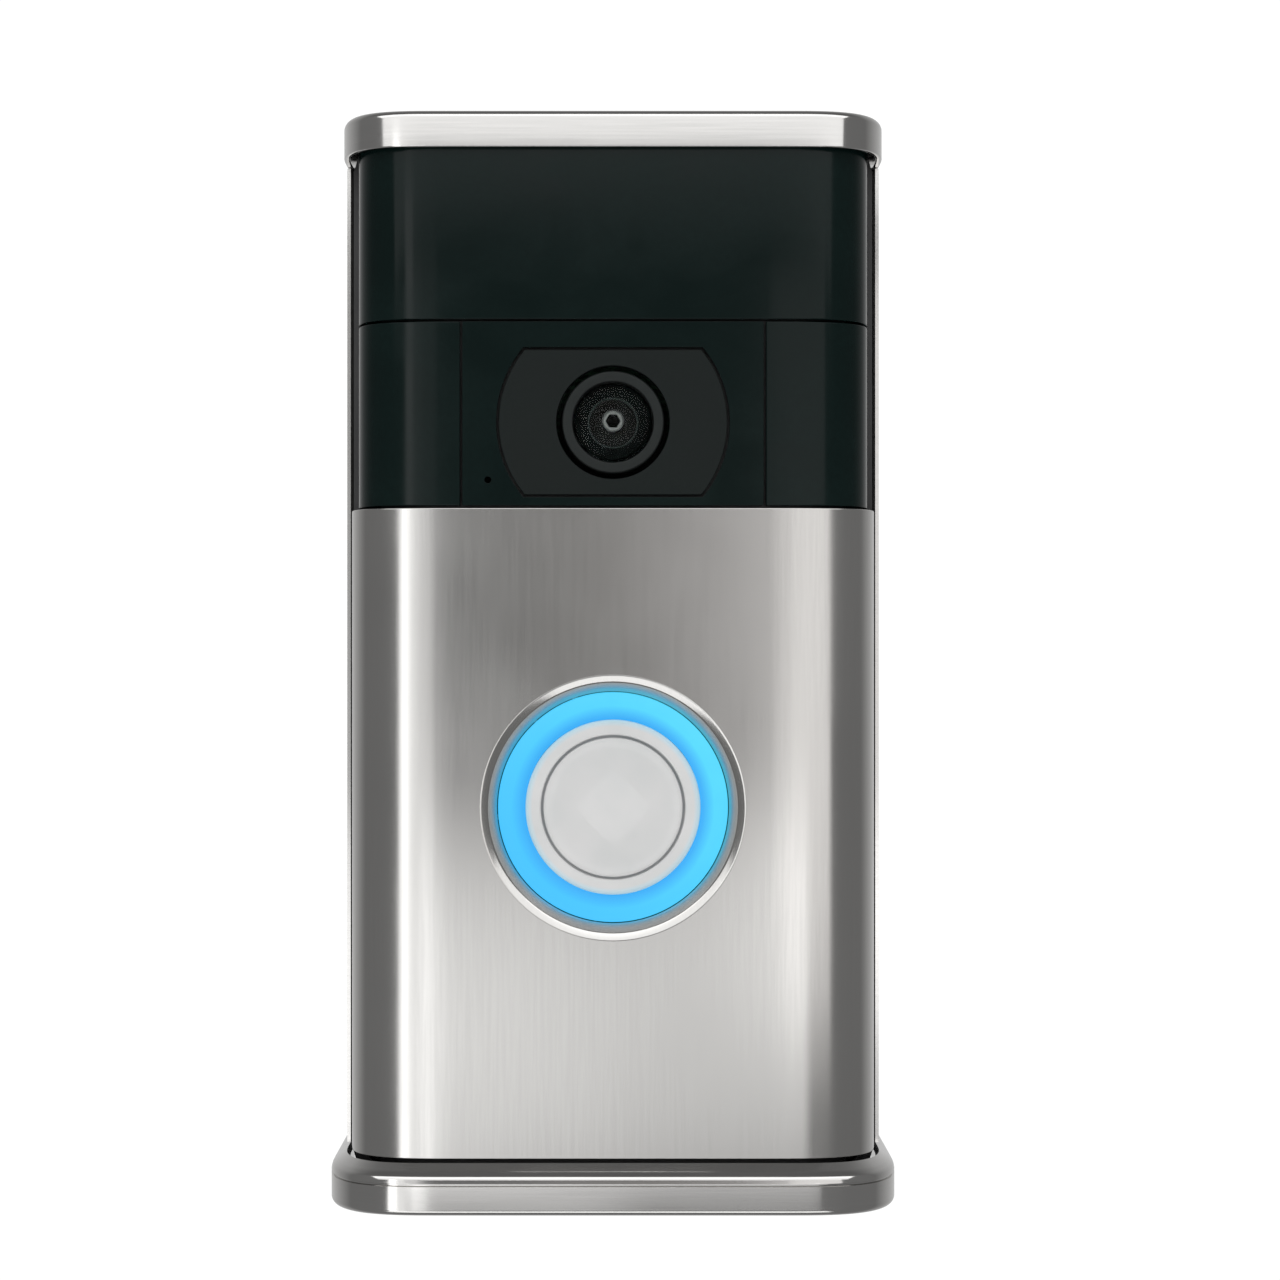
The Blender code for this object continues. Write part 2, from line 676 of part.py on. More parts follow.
def make_seal():
    """The rubber loop between the frame's spigot and the housing's mouth."""
    outer_half = BODY_HALF - HOUSING_WALL - GAP
    outer_end = BODY_TOP - HOUSING_WALL - GAP
    inner_half = FRAME_HALF + GAP
    inner_end = SPIGOT_END + GAP
    outer = rectangle(-outer_half, outer_half, -outer_end, outer_end, SEAL_CORNER)
    inner = rectangle(-inner_half, inner_half, -inner_end, inner_end)
    plate("seal_gasket", [outer, inner], SEAL_FRONT, SEAL_BACK, RUBBER)


def make_housing_screws():
    head_seat = HOUSING_BACK - HEAD_WELL_DEPTH + 0.4
    profile = screw_profile(
        HOUSING_SCREW_HEAD,
        HOUSING_SCREW_HEAD_HEIGHT,
        HOUSING_SCREW_SHANK,
        head_seat,
        -1,
        HOUSING_SCREW_LENGTH,
    )
    for number, centre in enumerate(post_places(), start=1):
        turned_front(f"housing_screw_{number}", profile[::-1], centre, STEEL, steps=12)


def make_mounting_screws():
    """Their shanks stop at the wall face, and their heads bear on the housing's floor."""
    head_seat = HOUSING_BACK - HOUSING_FLOOR - GAP
    length = UNIT_SCREW_END - head_seat
    profile = screw_profile(
        UNIT_SCREW_HEAD, UNIT_SCREW_HEAD_HEIGHT, SHANK_RADIUS, head_seat, 1, length
    )
    for number, centre in enumerate(mounting_screw_places(), start=1):
        turned_front(f"mounting_screw_{number}", profile, centre, STEEL, steps=12)


# ---------------------------------------------------------------- camera head


def make_head_panels():
    band = plan_band(HEAD_HALF, BODY_FRONT, HEAD_BACK, HEAD_CORNER, HEAD_WALL, HEAD_WALL)
    extruded("head_cover_upper", [band], HEAD_SEAM + GAP / 2, FRAME_END, GLOSS_BLACK)

    corner_centre = (HEAD_HALF - HEAD_CORNER, BODY_FRONT + HEAD_CORNER)
    seam = SEAM_X + GAP / 2
    outline = [(HEAD_HALF, HEAD_BACK)]
    outline += arc(corner_centre, HEAD_CORNER, 360, 270)
    outline += [(seam, BODY_FRONT), (seam, BODY_FRONT + HEAD_WALL)]
    outline += arc(corner_centre, HEAD_CORNER - HEAD_WALL, 270, 360)
    outline += [(HEAD_HALF - HEAD_WALL, HEAD_BACK)]
    top = HEAD_SEAM - GAP / 2
    for side, name in ((-1, "head_panel_left"), (1, "head_panel_right")):
        mirrored = [(side * x, y) for x, y in outline]
        extruded(name, [mirrored], HEAD_LOW, top, GLOSS_BLACK)

    seam = SEAM_X - GAP / 2
    centre = rectangle(-seam, seam, HEAD_LOW, top)
    well = clipped_circle(CAMERA_PLATE_RADIUS + GAP, CAMERA_PLATE_HALF_HEIGHT + GAP, CAMERA_Z)
    loops = [centre, well, circle(MIC_X, MIC_Z, MIC_HOLE, 8)]
    plate("head_panel_centre", loops, BODY_FRONT, BODY_FRONT + HEAD_WALL, GLOSS_BLACK)


def make_lens():
    """The bezel, the glasses, their spacer, the aperture and the barrel, front to back on one axis."""
    centre = (0, CAMERA_Z)
    inner = LENS_RADIUS + GAP
    front = BODY_FRONT - 0.1
    edge = BODY_FRONT + 0.3
    bezel = [
        (inner, edge),
        (inner + 0.3, front),
        (BEZEL_RADIUS - 0.4, front),
        (BEZEL_RADIUS, edge),
        (BEZEL_RADIUS, BEZEL_BACK),
        (inner, BEZEL_BACK),
    ]
    turned_front("lens_bezel", bezel, centre, LENS_METAL, ring=True, steps=32)

    dome_radius = (LENS_RADIUS**2 + LENS_DOME**2) / (2 * LENS_DOME)
    dome_steps = 4
    dome = []
    for step in range(dome_steps + 1):
        radius = LENS_RADIUS * step / dome_steps
        drop = dome_radius - math.sqrt(dome_radius**2 - radius**2)
        dome.append((radius, BODY_FRONT + 0.1 + drop))
    dome += [(LENS_RADIUS, LENS_BACK), (0, LENS_BACK)]
    turned_front("front_lens", dome, centre, GLASS, steps=32)

    washer("lens_retainer", LENS_RADIUS, RETAINER_INNER, RETAINER_FRONT, RETAINER_BACK, centre, MATTE_GREY)
    inner_lens = [
        (0, INNER_LENS_FRONT),
        (INNER_LENS_RADIUS * 0.67, INNER_LENS_FRONT + 0.2),
        (INNER_LENS_RADIUS, INNER_LENS_FRONT + 0.6),
        (INNER_LENS_RADIUS, INNER_LENS_BACK),
        (0, INNER_LENS_BACK),
    ]
    turned_front("inner_lens", inner_lens, centre, GLASS)
    washer(
        "aperture_ring", APERTURE_OUTER, APERTURE_INNER, APERTURE_FRONT, BEZEL_BACK, centre, BRIGHT_RING, 24
    )
    barrel = [
        (APERTURE_INNER, BARREL_FRONT),
        (BARREL_RADIUS, BARREL_FRONT),
        (BARREL_RADIUS, BARREL_FLANGE_FRONT),
        (BARREL_FLANGE, BARREL_FLANGE_FRONT),
        (BARREL_FLANGE, BARREL_FLANGE_BACK),
        (BARREL_RADIUS, BARREL_FLANGE_BACK),
        (BARREL_RADIUS, BARREL_BACK),
        (APERTURE_INNER, BARREL_BACK),
    ]
    turned_front("lens_barrel", barrel, centre, MATTE_GREY, ring=True)


def make_camera():
    face = clipped_circle(CAMERA_PLATE_RADIUS, CAMERA_PLATE_HALF_HEIGHT, CAMERA_Z)
    well = circle(0, CAMERA_Z, LENS_WELL_RADIUS, 32)
    plate_front = BODY_FRONT + CAMERA_PLATE_SET_BACK
    plate("camera_plate", [face, well], plate_front, BODY_FRONT + HEAD_WALL, MATTE_GREY)
    half = IMAGE_SENSOR_HALF
    cube(
        "image_sensor",
        (-half, half),
        (IMAGE_SENSOR_FRONT, IMAGE_SENSOR_BACK),
        (CAMERA_Z - half, CAMERA_Z + half),
        LENS_METAL,
    )
    half = CAMERA_BOARD_HALF
    board = rectangle(-half, half, CAMERA_BOARD_LOW, CAMERA_BOARD_HIGH, BOARD_CORNER)
    plate("camera_board", [board], CAMERA_BOARD_FRONT, CAMERA_BOARD_FRONT + BOARD, CIRCUIT)
    lead_end = CAMERA_BOARD_FRONT - GAP
    led = [
        (0, IR_LED_FRONT),
        (IR_LED_RADIUS * 0.67, IR_LED_FRONT + 0.3),
        (IR_LED_RADIUS, IR_LED_FRONT + 1.2),
        (IR_LED_RADIUS, IR_LED_BACK),
        (IR_LEAD_RADIUS, IR_LED_BACK),
        (IR_LEAD_RADIUS, lead_end),
        (0, lead_end),
    ]
    for x, name in ((-IR_LED_X, "ir_led_left"), (IR_LED_X, "ir_led_right")):
        turned_front(name, led, (x, CAMERA_Z), WHITE_PLASTIC, steps=12)


def make_motion_sensors():
    board = rectangle(-PIR_BOARD_HALF, PIR_BOARD_HALF, *PIR_BOARD_HEIGHTS, BOARD_CORNER)
    plate("pir_board", [board], PIR_BOARD_FRONT, PIR_BOARD_FRONT + BOARD, CIRCUIT)
    back = PIR_BOARD_FRONT - GAP
    can = [
        (0, PIR_FRONT),
        (PIR_RADIUS - 0.4, PIR_FRONT),
        (PIR_RADIUS, PIR_FRONT + 0.4),
        (PIR_RADIUS, PIR_RIM_FRONT),
        (PIR_RIM, PIR_RIM_FRONT),
        (PIR_RIM, back),
        (0, back),
    ]
    for x, name in ((-PIR_X, "pir_sensor_left"), (PIR_X, "pir_sensor_right")):
        turned_front(name, can, (x, PIR_Z), BRIGHT_RING, steps=16)


def make_sound():
    """The microphone behind its hole, and the speaker with its gasket behind the frame's slots."""
    capsule = [(0, MIC_FRONT), (MIC_RADIUS, MIC_FRONT), (MIC_RADIUS, MIC_BACK), (0, MIC_BACK)]
    turned_front("microphone", capsule, (MIC_X, MIC_Z), BRIGHT_RING, steps=12)
    centre = (0, SPEAKER_Z)
    washer(
        "speaker_gasket",
        SPEAKER_RADIUS,
        SPEAKER_CONE,
        SPEAKER_GASKET_FRONT,
        SPEAKER_GASKET_BACK,
        centre,
        RUBBER,
        steps=24,
    )
    speaker = [
        (0, SPEAKER_FRONT + 1.8),
        (SPEAKER_CONE * 0.32, SPEAKER_FRONT + 1.4),
        (SPEAKER_CONE * 0.8, SPEAKER_FRONT + 0.4),
        (SPEAKER_CONE, SPEAKER_FRONT + 1.0),
        (SPEAKER_CONE, SPEAKER_FRONT),
        (SPEAKER_RADIUS, SPEAKER_FRONT),
        (SPEAKER_RADIUS, SPEAKER_FRONT + 1.6),
        (SPEAKER_MAGNET, SPEAKER_FRONT + 3.0),
        (SPEAKER_MAGNET, SPEAKER_BACK),
        (0, SPEAKER_BACK),
    ]
    turned_front("speaker", speaker, centre, HOUSING_PLASTIC)


# ---------------------------------------------------------------- face cover and bell button


def make_face_cover():
    band = plan_band(BODY_HALF, BODY_FRONT, HEAD_BACK, BODY_CORNER, COVER_SIDE, COVER_FACE)
    cover = extruded("face_cover", [band], COVER_LOW, COVER_TOP, NICKEL)
    cover_inside = BODY_FRONT + COVER_FACE
    slope = (BUTTON_WELL_RADIUS - COVER_HOLE_RADIUS) / COVER_FACE
    well = [
        (0, BODY_FRONT - OVERSHOOT),
        (BUTTON_WELL_RADIUS + slope * OVERSHOOT, BODY_FRONT - OVERSHOOT),
        (COVER_HOLE_RADIUS, cover_inside),
        (COVER_HOLE_RADIUS, cover_inside + OVERSHOOT),
        (0, cover_inside + OVERSHOOT),
    ]
    boolean(cover, turned_front("button_well", well, (0, BUTTON_Z), steps=40))


def make_button():
    """The lit ring, the fixed surround and the cap, whose flange bears on the surround from behind."""
    centre = (0, BUTTON_Z)
    washer(
        "light_ring",
        LIGHT_RING_OUTER,
        LIGHT_RING_INNER,
        LIGHT_RING_FRONT,
        LIGHT_RING_BACK,
        centre,
        BLUE_LIGHT,
        steps=40,
    )
    outer = LIGHT_RING_INNER - GAP
    washer(
        "button_surround", outer, SURROUND_INNER, SURROUND_FRONT, LIGHT_RING_BACK, centre, WHITE_PLASTIC
    )
    cap = [
        (0, BUTTON_FRONT),
        (BUTTON_RADIUS - BUTTON_CHAMFER, BUTTON_FRONT),
        (BUTTON_RADIUS, BUTTON_FRONT + BUTTON_CHAMFER),
        (BUTTON_RADIUS, BUTTON_FLANGE_FRONT),
        (BUTTON_FLANGE_RADIUS, BUTTON_FLANGE_FRONT),
        (BUTTON_FLANGE_RADIUS, BUTTON_FLANGE_BACK),
        (BUTTON_STEM_RADIUS, BUTTON_FLANGE_BACK),
        (BUTTON_STEM_RADIUS, BUTTON_STEM_END),
        (0, BUTTON_STEM_END),
    ]
    turned_front("button_cap", cap, centre, WHITE_PLASTIC, steps=32)


def make_led_board():
    """A ring-shaped board with a circle of light chips behind the lit ring."""
    loops = [circle(0, BUTTON_Z, radius, 32) for radius in (LED_BOARD_OUTER, LED_BOARD_INNER)]
    board = plate("led_ring_board", loops, LED_BOARD_FRONT, LED_BOARD_BACK, CIRCUIT)
    chips = []
    for index in range(LED_COUNT):
        angle = 2 * math.pi * index / LED_COUNT
        x = LED_CIRCLE * math.cos(angle)
        z = BUTTON_Z + LED_CIRCLE * math.sin(angle)
        chips.append(rectangle(x - LED_HALF, x + LED_HALF, z - LED_HALF, z + LED_HALF))
    boolean(board, plate("led_chips", chips, LED_FRONT, LED_BOARD_FRONT + OVERSHOOT), "UNION")


def make_switch():
    """The tact switch under the button, with its own small plunger."""
    centre = (0, BUTTON_Z)
    half = SWITCH_HALF
    switch = cube(
        "tact_switch_body",
        (-half, half),
        (SWITCH_FRONT, SWITCH_BACK),
        (BUTTON_Z - half, BUTTON_Z + half),
        HOUSING_PLASTIC,
    )
    start = SWITCH_FRONT - OVERSHOOT
    bore = [(0, start), (SWITCH_BORE, start), (SWITCH_BORE, SWITCH_BORE_END), (0, SWITCH_BORE_END)]
    boolean(switch, turned_front("switch_bore", bore, centre, steps=16))
    plunger = [
        (0, PLUNGER_FRONT),
        (PLUNGER_RADIUS, PLUNGER_FRONT),
        (PLUNGER_RADIUS, PLUNGER_BACK),
        (0, PLUNGER_BACK),
    ]
    turned_front("tact_plunger", plunger, centre, WHITE_PLASTIC, steps=16)


# ---------------------------------------------------------------- boards, battery, rear connections


def make_main_board():
    outline = rectangle(-BOARD_HALF, BOARD_HALF, MAIN_BOARD_LOW, MAIN_BOARD_HIGH, BOARD_CORNER)
    plate("main_board", [outline], MAIN_BOARD_FRONT, MAIN_BOARD_FRONT + BOARD, CIRCUIT)
    can_back = MAIN_BOARD_FRONT - GAP
    can_front = can_back - SHIELD_HEIGHT
    can = cube("rf_shield", SHIELD_X, (can_front, can_back), SHIELD_Z, BRIGHT_RING)
    inside = cube(
        "shield_hollow",
        (SHIELD_X[0] + SHIELD_WALL, SHIELD_X[1] - SHIELD_WALL),
        (can_front + SHIELD_WALL, can_back + OVERSHOOT),
        (SHIELD_Z[0] + SHIELD_WALL, SHIELD_Z[1] - SHIELD_WALL),
    )
    boolean(can, inside)


def make_battery():
    battery = rectangle(-BOARD_HALF, BOARD_HALF, BATTERY_LOW, BATTERY_HIGH, BATTERY_CORNER)
    plate("battery_pack", [battery], BATTERY_FRONT, BATTERY_BACK, BATTERY_WRAP)
    pad = rectangle(-FOAM_HALF, FOAM_HALF, FOAM_LOW, FOAM_HIGH)
    foam_back = HOUSING_BACK - HOUSING_FLOOR - GAP
    plate("battery_foam", [pad], BATTERY_BACK + GAP, foam_back, RUBBER)


def make_flex_cable():
    """A film that runs down the camera board's back and steps forward to the main board."""
    upper = CAMERA_BOARD_FRONT + BOARD + GAP
    lower = MAIN_BOARD_FRONT + BOARD + GAP
    depths = (upper, upper, lower, lower)
    front_line = list(zip(depths, FLEX_HEIGHTS))
    back_line = [(y + FLEX_THICKNESS, z) for y, z in front_line]
    for index in (1, 2):
        y, z = back_line[index]
        back_line[index] = (y, z - FLEX_FOLD_SHIFT)
    outline = front_line + back_line[::-1]
    extruded("flex_cable", [outline], -FLEX_HALF, FLEX_HALF, FLEX, FACING_SIDE)


def make_rear_connections():
    """The board behind the wiring pocket, with its USB socket, setup button and terminals."""
    board = rectangle(-BOARD_HALF, BOARD_HALF, IO_BOARD_LOW, IO_BOARD_HIGH, BOARD_CORNER)
    board_back = IO_BOARD_FRONT + IO_BOARD
    plate("io_board", [board], IO_BOARD_FRONT, board_back, CIRCUIT)
    seat = board_back + GAP

    half, height = USB_HALF, USB_HALF_HEIGHT
    port_heights = (USB_Z - height, USB_Z + height)
    port = cube("usb_port", (-half, half), (seat, CONNECTION_END), port_heights, BRIGHT_RING)
    half, height = half - USB_WALL, height - USB_WALL
    mouth_heights = (USB_Z - height, USB_Z + height)
    mouth_depths = (seat + 2 * USB_WALL, CONNECTION_END + OVERSHOOT)
    boolean(port, cube("usb_mouth", (-half, half), mouth_depths, mouth_heights))

    setup = [
        (0, SETUP_FLANGE_FRONT),
        (SETUP_FLANGE, SETUP_FLANGE_FRONT),
        (SETUP_FLANGE, SETUP_FLANGE_BACK),
        (SETUP_RADIUS, SETUP_FLANGE_BACK),
        (SETUP_RADIUS, CONNECTION_END),
        (0, CONNECTION_END),
    ]
    turned_front("setup_button", setup, (SETUP_X, USB_Z), ORANGE, steps=16)

    places = [(x, TERMINAL_Z) for x in (-TERMINAL_X, TERMINAL_X)]
    low = TERMINAL_Z - TERMINAL_HALF_HEIGHT
    high = TERMINAL_Z + TERMINAL_HALF_HEIGHT
    outline = rectangle(-TERMINAL_HALF, TERMINAL_HALF, low, high)
    bores = [circle(x, z, TERMINAL_BORE, 12) for x, z in places]
    plate("terminal_block", [outline] + bores, seat, TERMINAL_BACK, HOUSING_PLASTIC)
    profile = screw_profile(
        TERMINAL_SCREW_HEAD,
        TERMINAL_SCREW_HEAD_HEIGHT,
        TERMINAL_SCREW_SHANK,
        TERMINAL_BACK + GAP,
        -1,
        TERMINAL_SCREW_LENGTH,
    )
    for centre, name in zip(places, ("terminal_screw_left", "terminal_screw_right")):
        turned_front(name, profile[::-1], centre, BRASS, steps=12)


make_back_plate()
make_top_band()
make_bottom_band()
make_rear_housing()
make_inner_frame()
make_seal()
make_housing_screws()
make_mounting_screws()
make_head_panels()
make_lens()
make_camera()
make_motion_sensors()
make_sound()
make_face_cover()
make_button()
make_led_board()
make_switch()
make_main_board()
make_battery()
make_flex_cable()
make_rear_connections()
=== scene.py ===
"""The looks of the video doorbell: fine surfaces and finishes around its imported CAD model.

The wall is the plane Y = 0 and the front faces -Y. Lengths below are in millimetres, and the
mesh helpers turn them into metres.
"""

import json
import math

import bmesh
import bpy
from mathutils import Matrix, Vector


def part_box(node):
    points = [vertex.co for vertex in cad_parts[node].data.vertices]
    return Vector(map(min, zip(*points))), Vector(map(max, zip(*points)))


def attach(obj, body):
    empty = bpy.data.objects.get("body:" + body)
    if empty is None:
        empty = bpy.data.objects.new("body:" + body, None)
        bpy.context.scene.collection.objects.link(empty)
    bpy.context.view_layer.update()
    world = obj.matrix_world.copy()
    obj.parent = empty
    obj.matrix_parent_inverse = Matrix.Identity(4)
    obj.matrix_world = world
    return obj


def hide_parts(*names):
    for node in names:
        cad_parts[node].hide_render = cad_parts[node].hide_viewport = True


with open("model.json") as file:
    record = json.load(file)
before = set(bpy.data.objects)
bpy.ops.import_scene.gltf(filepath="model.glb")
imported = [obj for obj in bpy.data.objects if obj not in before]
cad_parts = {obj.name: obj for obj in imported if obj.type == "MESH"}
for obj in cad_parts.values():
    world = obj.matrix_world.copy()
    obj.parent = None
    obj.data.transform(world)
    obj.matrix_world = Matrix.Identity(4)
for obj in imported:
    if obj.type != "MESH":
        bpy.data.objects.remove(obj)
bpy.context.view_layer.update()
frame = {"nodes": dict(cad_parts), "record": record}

MM = 0.001
EDGE = 0.16
ARC_STEPS = 20
TURN_STEPS = 96
SHARP_ANGLE = 32.0

# Corners: the power that eases a quarter turn, and how far it reaches against a round one's radius
EASE = 2 / 3
EASE_REACH = 1.43

# Camera; the shifts are shares of the frame's width
EYE_DISTANCE = 318.0
LENS_LENGTH = 70.3
SHIFT_X = 0.0211
SHIFT_Y = 0.0172

# Sheet steel and screws
SHEET = 0.7
BODY_CORNER = 9.0
TOP_BAND_CORNER = 8.2
TOP_BAND_FILLET = 0.9
BOTTOM_BAND_CORNER = 9.5
BOTTOM_BAND_FILLET = 0.7
RIM_INSET = 1.85
FACE_TOP_DROP = 1.85
SHOULDER_ROUND = 0.5
CREASE_DEPTH = 0.24
SHEET_EDGE = 0.14
BEND = 1.1
EDGE_LAND = 0.42
EDGE_SLOPE = 0.3
SCREW_HOLE = 1.7
THREAD_PITCH = 0.6
THREAD_DEPTH = 0.25
HEAD_INSET = 0.02
WINDOW_HALF = 14.0
WINDOW_LOW = 5.0
WINDOW_HIGH = 33.0
WINDOW_CORNER = 3.0
FLAT_HALF = 31.0
FLANGE_LOW = -57.8
FLANGE_HIGH = 59.4
FLANGE_CORNER = 0.3

# Covers
HEAD_CORNER = 8.6
HEAD_WALL = 1.5
COVER_SIDE = 1.0
COVER_FACE = 1.6
SEAM_GAP = 0.3
MIC_HOLE = 0.4
LENS_WELL = 6.57
BEZEL_RADIUS = 5.92
LENS_RADIUS = 4.5
LENS_GAP = 0.12
RETAINER_INNER = 2.72
APERTURE_INNER = 0.75
APERTURE_OUTER = 1.27
APERTURE_RISE = 0.4

# The button's well in the cover; its slope, start, step and tilt are angles in degrees
WELL_RADIUS = 15.46
WELL_FLOOR_RADIUS = 13.45
WELL_SLOPE = 46
LIP_ROUND = 0.7
LIP_START = 4
LIP_STEP = 3
LIP_TILT = 22
LIP_FACET = 0.55

# Button
RING_GAP = 0.03
SURROUND_INNER = 8.4
BUTTON_RADIUS = 8.1
BUTTON_STEM = 2.0
BUTTON_FLANGE = 0.8
BUTTON_DISH = 0.12
BUTTON_SEAT = 1.4

# Studio: how bright its walls are, and where the floor lies in metres
ROOM_FRONT = 0.2
ROOM_BACK = 0.62
ROOM_CEILING = 0.7
BACKDROP = 1.05
FLOOR_Z = -0.3
FLOOR_HALF = 1.1
FLOOR_BACK = 0.6
FLOOR_GLOW = 0.2

# Battery
WRAP_BAND_LOW = -41.0

# Lit ring
LIGHT_STRENGTH = 1.0
# Painted glow of the white button plastic, which is no lamp.
PAINTED_BUTTON_GLOW = 0.12
AZURE = (0.045, 0.5, 0.93)
CYAN = (0.085, 0.66, 0.92)
DEEP_BLUE = (0.03, 0.38, 0.85)
RING_BODY = (0.01, 0.05, 0.08)
HUE_DIRECTION = (0.8, 0, 0.6)


def box_mm(node):
    """The node's lowest and highest corners in millimetres."""
    low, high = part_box(node)
    return low / MM, high / MM


def middle_mm(node):
    low, high = box_mm(node)
    return (low + high) / 2


SLOT_OF = {part["node"]: part["material_slot"] for part in frame["record"]["subparts"]}
BODY_OF = {}
for body_name, members in frame["record"]["behaviour"]["bodies"].items():
    BODY_OF.update({member: body_name for member in members})
BUTTON_CENTRE = middle_mm("light_ring")
CAMERA_CENTRE = middle_mm("lens_bezel")
APERTURE_CENTRE = CAMERA_CENTRE + Vector((0, 0, APERTURE_RISE))


# ---------------------------------------------------------------- outlines


def arc(centre, radius, start, end, steps=ARC_STEPS):
    """Points on an arc, both ends included, with its angles in degrees."""
    points = []
    for step in range(steps + 1):
        angle = math.radians(start + (end - start) * step / steps)
        points.append((centre[0] + radius * math.cos(angle), centre[1] + radius * math.sin(angle)))
    return points


def circle(x, z, radius, steps=48):
    return arc((x, z), radius, 0, 360, steps)[:-1]


def rectangle(low_x, high_x, low_z, high_z, radius, steps=8):
    points = []
    points += arc((low_x + radius, low_z + radius), radius, 180, 270, steps)
    points += arc((high_x - radius, low_z + radius), radius, 270, 360, steps)
    points += arc((high_x - radius, high_z - radius), radius, 0, 90, steps)
    points += arc((low_x + radius, high_z - radius), radius, 90, 180, steps)
    return points


def eased_corner(half, front, back, radius):
    """The right front corner, from the front to the side, as a turn that eases into its flats."""
    reach = radius * EASE_REACH
    depth = min(reach, back - front - 0.1)
    points = []
    for step in range(ARC_STEPS + 1):
        angle = math.radians(90 * step / ARC_STEPS)
        across = abs(math.sin(angle)) ** EASE
        along = abs(math.cos(angle)) ** EASE
        points.append((half - reach + reach * across, front + depth - depth * along))
    return points


def plan_chain(half, front, back, radius):
    """An open run from back left, round the two front corners, to back right."""
    right = eased_corner(half, front, back, radius) + [(half, back)]
    left = [(-x, y) for x, y in reversed(right)]
    return left + right


def clipped_circle(radius, half_height, centre_z):
    """A circle with flat top and bottom."""
    angle = math.degrees(math.asin(half_height / radius))
    right = arc((0, centre_z), radius, -angle, angle)
    left = arc((0, centre_z), radius, 180 - angle, 180 + angle)
    return right + left


def rounded(profile, radius, closed=False, steps=4):
    """Rounds a profile's corners, by less where its sides are short. An open one keeps its ends."""
    count = len(profile)
    points = []
    for index, corner in enumerate(profile):
        if not closed and index in (0, count - 1):
            points.append(corner)
            continue
        here = Vector(corner)
        before = Vector(profile[index - 1]) - here
        after = Vector(profile[(index + 1) % count]) - here
        reach = min(radius, before.length * 0.45, after.length * 0.45)
        first = here + before.normalized() * reach
        last = here + after.normalized() * reach
        for step in range(steps + 1):
            share = step / steps
            bend = first.lerp(here, share).lerp(here.lerp(last, share), share)
            points.append((bend.x, bend.y))
    return points


# ---------------------------------------------------------------- meshes


def stand_in(node, mesh, finish=None):
    """Links a finished mesh in place of a CAD node, on its body and in its material slot."""
    piece = bpy.data.objects.new(node + "_fine", mesh)
    bpy.context.scene.collection.objects.link(piece)
    mesh.materials.clear()
    mesh.materials.append(finish or FINISHES[SLOT_OF[node]])
    mesh.shade_smooth()
    mesh.set_sharp_from_angle(angle=math.radians(SHARP_ANGLE))
    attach(piece, BODY_OF[node])
    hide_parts(node)
    return piece


def bevelled(piece, width=EDGE, segments=3, angle=50.0):
    """Rounds the piece's sharp edges and keeps its flat faces flat in shading."""
    bevel = piece.modifiers.new("edges", "BEVEL")
    bevel.width = width * MM
    bevel.segments = segments
    bevel.limit_method = "ANGLE"
    bevel.angle_limit = math.radians(angle)
    weighted(piece)
    return piece


def weighted(piece):
    normals = piece.modifiers.new("normals", "WEIGHTED_NORMAL")
    normals.keep_sharp = True
    normals.weight = 100
    return piece


def filled(loops, low, high, matrix):
    """A mesh from outlines with holes, extruded from low to high."""
    curve = bpy.data.curves.new("outline", "CURVE")
    curve.dimensions = "2D"
    curve.fill_mode = "BOTH"
    curve.extrude = (high - low) / 2 * MM
    for loop in loops:
        spline = curve.splines.new("POLY")
        spline.points.add(len(loop) - 1)
        for point, (u, v) in zip(spline.points, loop):
            point.co = (u * MM, v * MM, 0, 1)
        spline.use_cyclic_u = True
    outline = bpy.data.objects.new("outline", curve)
    bpy.context.scene.collection.objects.link(outline)
    graph = bpy.context.evaluated_depsgraph_get()
    mesh = bpy.data.meshes.new_from_object(outline.evaluated_get(graph))
    bpy.data.objects.remove(outline)
    solid = bmesh.new()
    solid.from_mesh(mesh)
    bmesh.ops.remove_doubles(solid, verts=solid.verts, dist=1e-6)
    flat = [edge for edge in solid.edges if edge.is_manifold and edge.calc_face_angle() < 1e-3]
    bmesh.ops.dissolve_limit(
        solid, angle_limit=1e-3, verts=[], edges=flat, use_dissolve_boundaries=False, delimit=set()
    )
    bmesh.ops.translate(solid, verts=solid.verts, vec=(0, 0, (low + high) / 2 * MM))
    bmesh.ops.recalc_face_normals(solid, faces=solid.faces)
    solid.transform(matrix)
    solid.to_mesh(mesh)
    solid.free()
    return mesh


FACING_FRONT = Matrix.Rotation(math.radians(90), 4, "X")


def plate(loops, front, back):
    """Outlines in X and Z, extruded from Y = front to Y = back."""
    return filled(loops, -back, -front, FACING_FRONT)


def column(loops, low, high):
    """Outlines in X and Y, extruded from Z = low to Z = high."""
    return filled(loops, low, high, Matrix())


